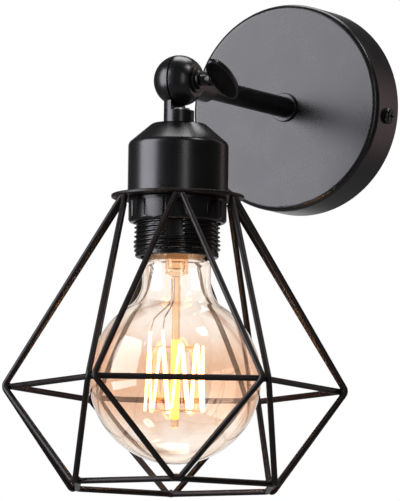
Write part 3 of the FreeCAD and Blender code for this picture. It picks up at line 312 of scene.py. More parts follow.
def surface(name, shades, gloss, patch=70.0, grain=1100.0, relief=2e-5, metallic=0.0,
            stretch=PLAIN, coat=0.0, specks=0.0, ior=1.5):
    """Opaque finish: two shades in soft patches, a fine grain in gloss and relief, rare specks."""
    patch_share, fine_share = 0.6, 0.4
    speck_scale, speck_span = 0.45, (0.74, 0.80)
    speck_gain, speck_lift = 3.5, 0.02
    coat_gloss = 0.25
    material, tree = new_material(name)
    where = place(tree, stretch)
    patches = noise(tree, where, patch, detail=5.0, distortion=0.3)
    fine = noise(tree, where, grain)
    tone = blend(tree, spread(tree, patches, NOISE_SPAN, UNIT), shades[0], shades[1])
    if specks:
        dust = noise(tree, where, grain * speck_scale, detail=1.0)
        dust = spread(tree, dust, speck_span, (0.0, specks))
        tone = blend(tree, dust, tone, [min(1.0, speck_gain * v + speck_lift) for v in shades[0]])
    both = sums(tree, "ADD", times(tree, patches, patch_share), times(tree, fine, fine_share))
    rough = spread(tree, both, NOISE_SPAN, gloss)
    bump = node(tree, "ShaderNodeBump", {"Height": fine, "Strength": 1.0, "Distance": relief})
    shader = node(tree, "ShaderNodeBsdfPrincipled", {
        "Base Color": tone, "Roughness": rough, "Normal": bump, "Metallic": metallic,
        "IOR": ior, "Coat Weight": coat, "Coat Roughness": coat_gloss})
    node(tree, "ShaderNodeOutputMaterial", {"Surface": shader})
    return material


def tinted_glass(name, clear, deep, glow, glow_strength, waves=45.0, relief=6e-5, glow_band=None,
                 reflection_tint=None):
    """Thin blown glass: deeper in colour on edge and in a painted glow band (colour, middle, half height)
    that stands in for the filament's orange halo, with painted reflections of dark wires as darker
    cords near the edge, faintly wavy, clear to lamps, and with a faint painted glow of its own."""
    drawn, glass_ior, edge_blend, edge_power = (1.0, 1.0, 0.6), 1.46, 0.30, 1.7
    reflection_place, reflection_width, reflection_span = 0.36, 0.075, (0.42, 0.56)
    wave_span, wave_reach, glow_band_core = (0.3, 0.7), 0.3, 0.2
    smear_scale, smear_span, smear = 160.0, (0.4, 0.8), (0.0, 0.02)
    material, tree = new_material(name)
    where = place(tree, drawn)
    facing = node(tree, "ShaderNodeLayerWeight", {"Blend": edge_blend}).outputs["Facing"]
    tint = blend(tree, sums(tree, "POWER", facing, edge_power), clear, deep)
    swell = noise(tree, where, waves, detail=2.0)
    # painted reflection: a darker ring near the edge stands in for the dark wires and room mirrored in the glass
    if reflection_tint:
        off = sums(tree, "ABSOLUTE", sums(tree, "SUBTRACT", facing, reflection_place))
        painted_reflection = times(tree, spread(tree, off, (0.0, reflection_width), (1.0, 0.0)),
                     spread(tree, swell, reflection_span, UNIT))
        tint = blend(tree, painted_reflection, tint, reflection_tint)
    # painted glow: orange band round the globe's middle, standing in for the halo of the filament's light
    if glow_band:
        glow_band_colour, middle, half = glow_band
        height = node(tree, "ShaderNodeSeparateXYZ", {0: place(tree, PLAIN)}).outputs[2]
        wave = spread(tree, swell, wave_span, (-wave_reach * half, wave_reach * half))
        off = sums(tree, "ABSOLUTE", sums(tree, "SUBTRACT", sums(tree, "ADD", height, wave), middle))
        inside = spread(tree, off, (glow_band_core * half, half), (1.0, 0.0), "SMOOTHSTEP")
        tint = blend(tree, inside, tint, glow_band_colour)
    rough = spread(tree, noise(tree, where, smear_scale), smear_span, smear)
    bump = node(tree, "ShaderNodeBump", {"Height": swell, "Strength": 1.0, "Distance": relief})
    # the glass's emission is a faint painted glow, as if lit from inside, though the glass is no lamp
    shader = node(tree, "ShaderNodeBsdfPrincipled", {
        "Base Color": tint, "Roughness": rough, "IOR": glass_ior, "Transmission Weight": 1.0,
        "Normal": bump, "Emission Color": glow, "Emission Strength": glow_strength})
    through = node(tree, "ShaderNodeBsdfTransparent", {"Color": tint})
    path = node(tree, "ShaderNodeLightPath")
    lamp_ray = sums(tree, "MAXIMUM", path.outputs["Is Shadow Ray"], path.outputs["Is Diffuse Ray"])
    switched(tree, lamp_ray, shader, through)
    return material


def glowing(name, glow, strength):
    """Hot filament, and the painted glow of the glass rod, which is no lamp: uneven orange base that shines at a
    plain level.
    """
    orange, grain_scale = (1.0, 0.45, 0.12), 900.0
    grain_span, gloss = (0.3, 0.7), (0.5, 0.8)
    material, tree = new_material(name)
    grain = noise(tree, place(tree, PLAIN), grain_scale)
    shader = node(tree, "ShaderNodeBsdfPrincipled", {
        "Base Color": blend(tree, grain, glow, orange),
        "Roughness": spread(tree, grain, grain_span, gloss),
        "Emission Color": glow, "Emission Strength": strength})
    node(tree, "ShaderNodeOutputMaterial", {"Surface": shader})
    return material


def paint(name, base, gloss, **more):
    """Black coat: the base colour, a lighter shade of it and a few specks."""
    lighter, specks = 1.5, 0.1
    return surface(name, (base, [lighter * v for v in base]), gloss, specks=specks, **more)


def metal(name, shades, gloss, **more):
    """Bare or plated metal."""
    return surface(name, shades, gloss, metallic=1.0, **more)


def make_finishes(colours):
    """Every finish of the light, by the record's slot."""
    dulled = 0.86
    dull_brass = [dulled * v for v in colours.brass]
    glow_band = (colours.painted_glow_band, -colours.glow_band_drop, colours.glow_band_half)
    return {
        "black_paint": paint("satin black coat", colours.paint, (0.26, 0.31), coat=0.12,
                             relief=1.5e-6),
        "black_wire_paint": paint("dipped wire coat", colours.wire_paint, (0.36, 0.48),
                                  patch=160.0, relief=6e-6, ior=1.4),
        "black_phenolic": paint("moulded phenolic", colours.phenolic, (0.20, 0.30), relief=3e-6),
        "zinc_steel": metal("zinc plate", ((0.58, 0.58, 0.56), (0.70, 0.71, 0.72)), (0.28, 0.42),
                            patch=180.0, stretch=(1.0, 9.0, 1.0)),
        "black_zinc": surface("black zinc", ((0.035, 0.035, 0.038), (0.07, 0.07, 0.075)),
                              (0.22, 0.36), patch=240.0, metallic=0.85),
        "brass": metal("bare brass", (colours.brass, dull_brass), (0.20, 0.36), patch=140.0,
                       stretch=(1.0, 1.0, 7.0)),
        "nickel_brass": metal("nickel plate", ((0.66, 0.63, 0.58), (0.74, 0.72, 0.68)),
                              (0.16, 0.30), patch=120.0, stretch=(1.0, 1.0, 6.0)),
        "porcelain": surface("glazed porcelain", ((0.80, 0.79, 0.75), (0.86, 0.85, 0.82)),
                             (0.08, 0.16), patch=90.0, relief=1e-5, specks=0.3, coat=0.4),
        "white_nylon": surface("natural nylon", ((0.74, 0.73, 0.69), (0.80, 0.79, 0.76)),
                               (0.42, 0.55), patch=120.0),
        "lead_brown": surface("brown insulation", ((0.17, 0.075, 0.04), (0.24, 0.11, 0.06)),
                              (0.35, 0.5), patch=200.0, stretch=(1.0, 0.3, 1.0)),
        "fibre": surface("red fibre", ((0.022, 0.015, 0.014), (0.045, 0.028, 0.024)), (0.6, 0.8),
                         patch=420.0, stretch=(0.4, 1.0, 1.0), relief=4e-5),
        # amber glass: painted glow band for the filament's halo, painted reflections of dark wires near the edge,
        # and a faint painted glow
        "amber_glass": tinted_glass("amber glass", colours.glass_clear, colours.glass_deep,
                                    (1.0, 0.70, 0.50), 0.030, glow_band=glow_band, reflection_tint=(0.46, 0.28, 0.19)),
        # stem glass: a faint painted glow
        "stem_glass": tinted_glass("stem glass", (0.88, 0.66, 0.45), (0.74, 0.46, 0.25),
                                   (1.0, 0.55, 0.15), 0.03, waves=120.0, relief=3e-5),
        # painted glow: the glass rod shines, though it is no lamp
        "rod_glow": glowing("painted glow on glass rod", (1.0, 0.78, 0.14), 2.0),
        "black_glass": surface("black glass", ((0.02, 0.02, 0.024), (0.035, 0.035, 0.04)),
                               (0.06, 0.14), patch=200.0, coat=0.5),
        "filament": glowing("glowing strand", colours.glow, 14.0),
        "molybdenum": metal("support wire", ((0.36, 0.32, 0.29), (0.46, 0.42, 0.38)), (0.35, 0.5),
                            patch=500.0),
        "solder": metal("tin solder", ((0.62, 0.62, 0.61), (0.74, 0.74, 0.74)), (0.25, 0.4),
                        patch=260.0, relief=6e-5),
    }


def finish(slot):
    """The material made for a record slot."""
    made = bpy.data.materials.get(bpy.context.scene.get("finish:" + slot, ""))
    if made is None:
        raise RuntimeError("the finishes come before the piece that needs " + slot)
    return made


# ---- meshes
def tidy_mesh(mesh, merge=1e-7):
    """Merge doubles, turn faces outwards, and smooth all but the sharp edges."""
    work = bmesh.new()
    work.from_mesh(mesh)
    bmesh.ops.remove_doubles(work, verts=work.verts, dist=merge)
    bmesh.ops.recalc_face_normals(work, faces=work.faces)
    work.to_mesh(mesh)
    work.free()
    mesh.shade_smooth()
    mesh.set_sharp_from_angle(angle=SMOOTH_ANGLE)


def add_piece(mesh, body, slot, replaced=()):
    """Put a finished mesh in the scene under its own name, on its body, with its finish."""
    piece = bpy.data.objects.new(mesh.name, mesh)
    bpy.context.scene.collection.objects.link(piece)
    mesh.materials.clear()
    mesh.materials.append(finish(slot))
    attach(piece, body)
    if replaced:
        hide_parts(*replaced)
    return piece


def turned_mesh(name, outline, segments, radius_at=None):
    """Closed mesh turned about the lamp's axis from a closed outline of (radius, height).

    radius_at(row, turn) may change a row's radius with the angle round the axis."""
    work = bmesh.new()
    rings = []
    for row, (radius, height) in enumerate(outline):
        if radius < ON_AXIS:
            rings.append([work.verts.new(LAMP_AXIS + Vector((0, 0, height)))])
            continue
        ring = []
        for step in range(segments):
            turn = TURN * step / segments
            reach = radius_at(row, turn) if radius_at else radius
            ring.append(work.verts.new(LAMP_AXIS + Vector((reach * math.sin(turn),
                                                           -reach * math.cos(turn), height))))
        rings.append(ring)
    for one, other in zip(rings, rings[1:] + rings[:1]):
        if len(one) == 1 and len(other) == 1:
            continue
        for step in range(segments):
            after = (step + 1) % segments
            corners = [one[step % len(one)], one[after % len(one)],
                       other[after % len(other)], other[step % len(other)]]
            work.faces.new(list(dict.fromkeys(corners)))
    mesh = bpy.data.meshes.new(name)
    work.to_mesh(mesh)
    work.free()
    tidy_mesh(mesh)
    return mesh


def arc(middle, radius, start, end, steps):
    """Points of an arc, as (radius, height), from one angle to another."""
    return [(middle[0] + radius * math.cos(start + (end - start) * k / steps),
             middle[1] + radius * math.sin(start + (end - start) * k / steps))
            for k in range(steps + 1)]


# ---- geometry nodes
def new_tree(name, floats, ints=(), vectors=()):
    """Geometry tree with named inputs; returns it with its input sockets by name."""
    tree = bpy.data.node_groups.new(name, "GeometryNodeTree")
    tree.interface.new_socket("Geometry", in_out="OUTPUT", socket_type="NodeSocketGeometry")
    for kind, labels in (("Float", floats), ("Int", ints), ("Vector", vectors)):
        for label in labels:
            tree.interface.new_socket(label, in_out="INPUT", socket_type="NodeSocket" + kind)
    return tree, node(tree, "NodeGroupInput").outputs


def shown(tree, geometry, material):
    """End a tree: real geometry at the lamp's axis, with its material."""
    moved = node(tree, "GeometryNodeTransform", {"Geometry": geometry, "Translation": LAMP_AXIS})
    real = node(tree, "GeometryNodeRealizeInstances", {"Geometry": moved})
    coated = node(tree, "GeometryNodeSetMaterial", {"Geometry": real, "Material": material})
    node(tree, "NodeGroupOutput", {0: coated})


def wire_along(tree, path, wire_radius, bend, sides=16, corner_points=10):
    """Round wire along a path whose corners are rounded."""
    bent = node(tree, "GeometryNodeFilletCurve", {"Curve": path, "Radius": bend,
                                                  "Count": corner_points}, mode="POLY")
    section = node(tree, "GeometryNodeCurvePrimitiveCircle", {"Resolution": sides,
                                                              "Radius": wire_radius})
    return node(tree, "GeometryNodeCurveToMesh", {"Curve": bent, "Fill Caps": True,
                                                  "Profile Curve": section})


def path_of(tree, count, position):
    """Open path of a number of points at the given positions."""
    line = node(tree, "GeometryNodeMeshLine", {"Count": count, "Offset": (0.0, 0.0, 1.0)})
    path = node(tree, "GeometryNodeMeshToCurve", {0: line})
    return node(tree, "GeometryNodeSetPosition", {"Geometry": path, "Position": position})


def around(tree, angle, radius, height):
    """Vector at an angle from -Y towards +X."""
    return node(tree, "ShaderNodeCombineXYZ", {
        "X": times(tree, radius, sums(tree, "SINE", angle)),
        "Y": times(tree, times(tree, radius, -1.0), sums(tree, "COSINE", angle)),
        "Z": height})


def even_turns(tree, count, turn):
    """Angle of each of a number of even steps round the axis."""
    index = node(tree, "GeometryNodeInputIndex")
    step = sums(tree, "DIVIDE", TURN, count)
    return sums(tree, "ADD", times(tree, index, step), turn)


def bent_wires_tree(material):
    """Diamonds: one wire through five corners, repeated round the axis."""
    tree, given = new_tree("Bent wires", ("Turn", "Wire Radius", "Bend"), ("Sides",),
                           ("Top Corner", "Middle Corner", "Foot Corner"))
    mirror = [node(tree, "ShaderNodeVectorMath", {0: given[label], 1: (-1.0, 1.0, 1.0)},
                   operation="MULTIPLY").outputs[0] for label in ("Middle Corner", "Top Corner")]
    corners = [given["Top Corner"], given["Middle Corner"], given["Foot Corner"]] + mirror
    choice = node(tree, "GeometryNodeIndexSwitch", data_type="VECTOR")
    while len(choice.index_switch_items) < len(corners):
        choice.index_switch_items.new()
    tree.links.new(node(tree, "GeometryNodeInputIndex").outputs[0], choice.inputs[0])
    for number, corner in enumerate(corners):
        tree.links.new(corner, choice.inputs[number + 1])
    path = path_of(tree, len(corners), choice)
    wire = wire_along(tree, path, given["Wire Radius"], given["Bend"])
    points = node(tree, "GeometryNodePoints", {"Count": given["Sides"]})
    turn = node(tree, "ShaderNodeCombineXYZ", {"Z": even_turns(tree, given["Sides"], given["Turn"])})
    copies = node(tree, "GeometryNodeInstanceOnPoints", {"Points": points, "Instance": wire,
                                                         "Rotation": turn})
    shown(tree, copies, material)
    return tree


def hoop_tree(material):
    """Ring with straight sides and rounded corners."""
    tree, given = new_tree("Cage hoop", ("Turn", "Corner Radius", "Height", "Wire Radius", "Bend"),
                           ("Corners",))
    angle = even_turns(tree, given["Corners"], given["Turn"])
    round_mesh = node(tree, "GeometryNodeMeshCircle", {"Vertices": given["Corners"]})
    path = node(tree, "GeometryNodeMeshToCurve", {0: round_mesh})
    placed = node(tree, "GeometryNodeSetPosition", {
        "Geometry": path,
        "Position": around(tree, angle, given["Corner Radius"], given["Height"])})
    shown(tree, wire_along(tree, placed, given["Wire Radius"], given["Bend"]), material)
    return tree


def weld_tree(material):
    """Lumpy weld beads, one at each corner, of slightly different sizes."""
    lump_scale, lump_share = 700.0, 0.5
    smallest, largest = (0.78, 0.78, 0.80), (1.0, 1.0, 1.0)
    tree, given = new_tree("Weld beads", ("Turn", "Radius", "Height", "Bead"), ("Corners", "Seed"))
    turns = even_turns(tree, given["Corners"], given["Turn"])
    points = node(tree, "GeometryNodePoints", {
        "Count": given["Corners"],
        "Position": around(tree, turns, given["Radius"], given["Height"])})
    ball = node(tree, "GeometryNodeMeshIcoSphere", {"Radius": given["Bead"], "Subdivisions": 4})
    lump = node(tree, "ShaderNodeTexNoise", {"Scale": lump_scale, "Detail": 1.0})
    swell = times(tree, sums(tree, "SUBTRACT", lump, NOISE_MIDDLE),
                  times(tree, given["Bead"], lump_share))
    outwards = node(tree, "GeometryNodeInputNormal")
    push = node(tree, "ShaderNodeVectorMath", {0: outwards, "Scale": swell}, operation="SCALE")
    lumpy = node(tree, "GeometryNodeSetPosition", {"Geometry": ball, "Offset": push})
    size = node(tree, "FunctionNodeRandomValue", {0: smallest, 1: largest, "Seed": given["Seed"]},
                data_type="FLOAT_VECTOR")
    turn = node(tree, "ShaderNodeCombineXYZ", {
        "Z": even_turns(tree, given["Corners"], given["Turn"])})
    beads = node(tree, "GeometryNodeInstanceOnPoints", {
        "Points": points, "Instance": lumpy, "Rotation": turn, "Scale": size})
    shown(tree, beads, material)
    return tree


def strand_tree(material):
    """Filament: a zigzag from hook to hook round the axis."""
    tree, given = new_tree("Filament strands", (
        "Top Radius", "Foot Radius", "Top Height", "Foot Height", "Strand Radius", "Bend"), ("Hooks",))
    index = node(tree, "GeometryNodeInputIndex")
    odd = sums(tree, "MODULO", index, 2.0)
    angle = times(tree, index, sums(tree, "DIVIDE", math.pi, given["Hooks"]))

    def between(top, foot):
        rise = sums(tree, "SUBTRACT", given[foot], given[top])
        return sums(tree, "ADD", given[top], times(tree, odd, rise))

    count = sums(tree, "SUBTRACT", times(tree, given["Hooks"], 2.0), 1.0)
    path = path_of(tree, count, around(tree, angle, between("Top Radius", "Foot Radius"),
                                       between("Top Height", "Foot Height")))
    shown(tree, wire_along(tree, path, given["Strand Radius"], given["Bend"], sides=10,
                           corner_points=6), material)
    return tree


def built_mesh(name, tree, values):
    """Plain mesh of a geometry tree with these inputs."""
    carrier = bpy.data.objects.new(name + "_carrier", bpy.data.meshes.new(name + "_carrier"))
    bpy.context.scene.collection.objects.link(carrier)
    modifier = carrier.modifiers.new("Shape", "NODES")
    modifier.node_group = tree
    sockets = {item.name: item.identifier for item in tree.interface.items_tree
               if item.item_type == "SOCKET" and item.in_out == "INPUT"}
    for label, value in values.items():
        modifier[sockets[label]] = value
    graph = bpy.context.evaluated_depsgraph_get()
    mesh = bpy.data.meshes.new_from_object(carrier.evaluated_get(graph))
    mesh.name = name
    carrier.modifiers.clear()
    bpy.data.objects.remove(carrier)
    if not mesh.polygons:
        raise RuntimeError("no faces in " + name)
    tidy_mesh(mesh)
    return mesh


# ---- cage sizes
def ray(turn, radius, height):
    """Point at an angle from -Y towards +X."""
    return Vector((radius * math.sin(turn), -radius * math.cos(turn), height))


def diamond_corners(sizes):
    """Top, middle and foot corner on the left side of the diamond that faces -Y."""
    half = math.pi / sizes.sides
    beside = sizes.wire_radius + sizes.wire_gap / 2
    foot = ray(0, sizes.foot_radius, -sizes.foot_drop)
    middle = ray(-half, sizes.middle_radius, -sizes.middle_drop)
    middle -= ray(-half - math.pi / 2, beside, 0)
    rise = Vector((-beside, -sizes.top_radius, -sizes.top_drop)) - middle
    lean = math.hypot(rise.x, rise.y) / rise.length
    top = Vector((-beside, -sizes.top_radius, -sizes.top_drop - sizes.wire_radius * lean))
    return top, middle, foot


def bend_inset(before, corner, after, bend):
    """Where a bend's middle lies, and how far it stays inside its corner."""
    one = (before - corner).normalized()
    other = (after - corner).normalized()
    half = one.angle(other) / 2
    inset = bend / math.sin(half) - bend
    return corner + (one + other).normalized() * inset, inset


# ---- operators
class PieceOperator:
    """Shared options of the light's operators."""

    bl_options = {"REGISTER", "UNDO"}


class LIGHT_OT_finishes(PieceOperator, bpy.types.Operator):
    """Make every finish and give the frame's own pieces theirs."""

    bl_idname = "wall_light.finishes"
    bl_label = "Finishes"

    def execute(self, context):
        made = make_finishes(context.scene.finish_colours)
        for slot, material in made.items():
            context.scene["finish:" + slot] = material.name
        for row in frame["record"]["subparts"]:
            for holder in NODES[row["node"]].material_slots:
                holder.material = made[row["material_slot"]]
        return {"FINISHED"}


class LIGHT_OT_cage(PieceOperator, bpy.types.Operator):
    """Make the cage's diamonds, hoops and weld beads."""

    bl_idname = "wall_light.cage"
    bl_label = "Cage"
    # how far a weld lies outwards and upwards from its wires' place, in wire radii
    weld_shift = {"middle": (0.9, 0.0), "foot": (0.3, 0.55), "plate": (0.0, -0.2)}

    def execute(self, context):
        sizes = context.scene.cage_sizes
        coat = finish("black_wire_paint")
        half = math.pi / sizes.sides
        top, middle, foot = diamond_corners(sizes)
        wires = built_mesh("cage_wires", bent_wires_tree(coat), {
            "Sides": sizes.sides, "Turn": half, "Top Corner": top, "Middle Corner": middle,
            "Foot Corner": foot, "Wire Radius": sizes.wire_radius, "Bend": sizes.bend})
        add_piece(wires, "cage", "black_wire_paint", DIAMONDS)
        hoop = hoop_tree(coat)
        room = 2 * sizes.wire_radius + sizes.wire_gap
        round_over = sizes.ring_bend * (1 / math.cos(half) - 1)
        middle_inset = bend_inset(top, middle, foot, sizes.bend)[1]
        mirrored = Vector((-middle.x, middle.y, middle.z))
        foot_bend = bend_inset(middle, foot, mirrored, sizes.bend)[0]
        hoops = {
            "middle": (sizes.middle_radius - middle_inset - room + round_over,
                       -sizes.middle_drop, 0.0),
            "bottom": (-foot_bend.y - room + round_over, foot_bend.z, half)}
        for place_name, (reach, height, turn) in hoops.items():
            ring = built_mesh("hoop_" + place_name, hoop, {
                "Corners": sizes.sides, "Turn": turn, "Corner Radius": reach, "Height": height,
                "Wire Radius": sizes.wire_radius, "Bend": sizes.ring_bend})
            add_piece(ring, "cage", "black_wire_paint", ["cage_%s_ring" % place_name])
        weld = weld_tree(coat)
        beads = {"middle": (*hoops["middle"], sizes.middle_bead),
                 "foot": (*hoops["bottom"], sizes.foot_bead),
                 "plate": (sizes.top_radius, top.z, half, sizes.plate_bead)}
        for number, (place_name, (reach, height, turn, bead)) in enumerate(beads.items()):
            outwards, upwards = self.weld_shift[place_name]
            mesh = built_mesh("welds_" + place_name, weld, {
                "Corners": sizes.sides, "Turn": turn, "Bead": bead, "Seed": number,
                "Radius": reach + outwards * sizes.wire_radius,
                "Height": height + upwards * sizes.wire_radius})
            add_piece(mesh, "cage", "black_wire_paint")
        return {"FINISHED"}


class LIGHT_OT_bulb(PieceOperator, bpy.types.Operator):
    """Make the bulb's blown glass, its glowing filament and the painted glow of its glass rod."""

    bl_idname = "wall_light.bulb"
    bl_label = "Bulb"
    globe_segments, rod_segments = 128, 32
    root_steps, fillet_steps, globe_steps, tip_steps = 8, 16, 56, 8

    def execute(self, context):
        sizes = context.scene.bulb_sizes
        globe = turned_mesh("blown_globe", self.outline(sizes), self.globe_segments)
        add_piece(globe, "bulb", "amber_glass", ["bulb_glass"])
        strands = built_mesh("filament_strands", strand_tree(finish("filament")), {
            "Hooks": sizes.hooks, "Top Radius": sizes.strand_top_radius,
            "Foot Radius": sizes.strand_foot_radius, "Top Height": -sizes.strand_top_drop,
            "Foot Height": -sizes.strand_foot_drop, "Strand Radius": sizes.strand_radius,
            "Bend": sizes.strand_bend})
        add_piece(strands, "bulb", "filament", ["bulb_filament"])
        # painted glow: an emitting piece turned over the lit length of the glass rod
        reach, start = sizes.rod_radius, -sizes.rod_top_drop
        tip = (0.0, reach - sizes.rod_foot_drop)
        rod = [(0.0, start), (reach, start)] + arc(tip, reach, 0.0, -math.pi / 2, self.tip_steps)
        lit = turned_mesh("rod_glow", rod, self.rod_segments)
        add_piece(lit, "bulb", "filament").data.materials[0] = finish("rod_glow")
        return {"FINISHED"}

    def outline(self, sizes):
        """Outer wall from the root to the globe's foot, and the inner wall back."""
        middle = low("bulb_glass") + sizes.globe_radius
        root_top = high("bulb_glass")

        def wall(inset):
            globe = sizes.globe_radius - inset
            neck = sizes.neck_radius - inset
            fillet = sizes.neck_fillet + inset
            rise = math.sqrt((globe + fillet) ** 2 - (neck + fillet) ** 2)
            lean = math.atan2(rise, neck + fillet)
            waist = root_top - sizes.root_height
            shoulder = waist - sizes.root_flare
            root = sizes.root_radius - inset
            points = [(root, root_top), (root, waist)]
            for k in range(1, self.root_steps + 1):
                share = k / self.root_steps
                ease = share * share * (3 - 2 * share)
                points.append((root + (neck - root) * ease, waist - sizes.root_flare * share))
            points.append((neck, (shoulder + middle + rise) / 2))
            points += arc((neck + fillet, middle + rise), fillet, math.pi, math.pi + lean,
                          self.fillet_steps)
            points += arc((0.0, middle), globe, lean, -math.pi / 2, self.globe_steps)[1:]
            return points

        outside, inside = wall(0.0), wall(sizes.wall)
        return outside + inside[::-1]


class LIGHT_OT_skirt(PieceOperator, bpy.types.Operator):
    """Make the lampholder's skirt with its winding thread and smooth patches."""

    bl_idname = "wall_light.skirt"
    bl_label = "Holder skirt"
    rows_per_turn = 8
    segments = 160
    ridge_slope = 0.75   # over 0.5 the thread's crest and root are flat

    def execute(self, context):
        sizes = context.scene.skirt_sizes
        mouth, top = -sizes.mouth_drop, high("holder_skirt")
        lip_top = mouth + sizes.lip_height
        threaded = sizes.thread_height - sizes.lip_height
        flange_foot, flange_top = top - sizes.flange_foot, top - sizes.flange_top
        rows = int(threaded / sizes.pitch * self.rows_per_turn)
        outline = [(sizes.mouth_bore, mouth + sizes.mouth_bevel),
                   (sizes.mouth_bore + sizes.mouth_bevel, mouth),
                   (sizes.lip_radius - sizes.lip_bevel, mouth),
                   (sizes.lip_radius, mouth + sizes.lip_bevel), (sizes.lip_radius, lip_top)]
        first = len(outline)
        outline += [(sizes.root, lip_top + sizes.thread_spare + threaded * k / rows)
                    for k in range(rows + 1)]
        last = len(outline) - 1
        outline += [(sizes.root, flange_foot), (sizes.flange_radius, flange_foot),
                    (sizes.flange_radius, flange_top), (sizes.spigot_radius, flange_top),
                    (sizes.spigot_radius, top), (sizes.bore, top),
                    (sizes.bore, mouth + sizes.bore_foot),
                    (sizes.mouth_bore, mouth + sizes.mouth_depth)]
        self.outline, self.sizes, self.thread = outline, sizes, (first, last)
        mesh = turned_mesh("threaded_skirt", outline, self.segments, self.radius_at)
        add_piece(mesh, "lamp_head", "black_phenolic", ["holder_skirt"])
        return {"FINISHED"}

    def radius_at(self, row, turn):
        """Radius of the outline's row at an angle: the thread winds round once a pitch."""
        radius, height = self.outline[row]
        first, last = self.thread
        if not first <= row <= last:
            return radius
        sizes = self.sizes
        phase = (height + sizes.mouth_drop) / sizes.pitch - turn / TURN
        ridge = clamp(0.5 - self.ridge_slope * math.cos(TURN * phase))
        ends = min(1.0, (row - first) / self.rows_per_turn, (last - row) / self.rows_per_turn)
        flat = self.flatness(turn, height)
        return radius + (sizes.crest - sizes.root) * ridge * ends * (1.0 - flat)

    def flatness(self, turn, height):
        """One where the thread is cut away, in smooth patches round the skirt."""
        sizes = self.sizes
        share = TURN / sizes.flats
        aside = (turn - sizes.flat_turn + share / 2) % share - share / 2
        across = abs(aside) * sizes.root - sizes.flat_width / 2
        below = -sizes.flat_foot - height
        return clamp(0.5 - max(across, below) / sizes.flat_edge)


class LIGHT_OT_ring(PieceOperator, bpy.types.Operator):
    """Make the grip ring, with softly bulging facets parted by grooves."""

    bl_idname = "wall_light.ring"
    bl_label = "Grip ring"
    segments = 560
    lip_steps = 6

    def execute(self, context):
        sizes = context.scene.ring_sizes
        foot, top = low("shade_ring"), high("shade_ring")
        lip, out = sizes.lip_round, sizes.radius
        grip_top = top - sizes.flange
        outline = [(sizes.bore, foot)]
        first = len(outline)
        outline += arc((out - lip, foot + lip), lip, -math.pi / 2, 0.0, self.lip_steps)
        outline += [(out, foot + sizes.grip_foot), (out, grip_top - sizes.groove_end)]
        last = len(outline) - 1
        outline += [(out, grip_top), (out, top - sizes.top_bevel), (out - sizes.top_bevel, top),
                    (sizes.bore, top)]
        self.outline, self.sizes, self.grip = outline, sizes, (first, last)
        mesh = turned_mesh("grip_ring", outline, self.segments, self.radius_at)
        add_piece(mesh, "shade_ring", "black_phenolic", ["shade_ring"])
        return {"FINISHED"}

    def radius_at(self, row, turn):
        """Radius at an angle: part flat facet, part round, less a groove at each corner."""
        radius = self.outline[row][0]
        first, last = self.grip
        if not first <= row <= last:
            return radius
        sizes = self.sizes
        half = math.pi / sizes.facets
        aside = (turn + half) % (2 * half) - half
        flat = sizes.radius * math.cos(half) / math.cos(aside)
        reach = min(radius, flat + (sizes.radius - flat) * sizes.bulge)
        if row >= last - 1:
            edge = (half - abs(aside)) * sizes.radius - sizes.groove_width / 2
            reach -= sizes.groove_depth * clamp(0.5 - edge / sizes.groove_edge)
        return reach


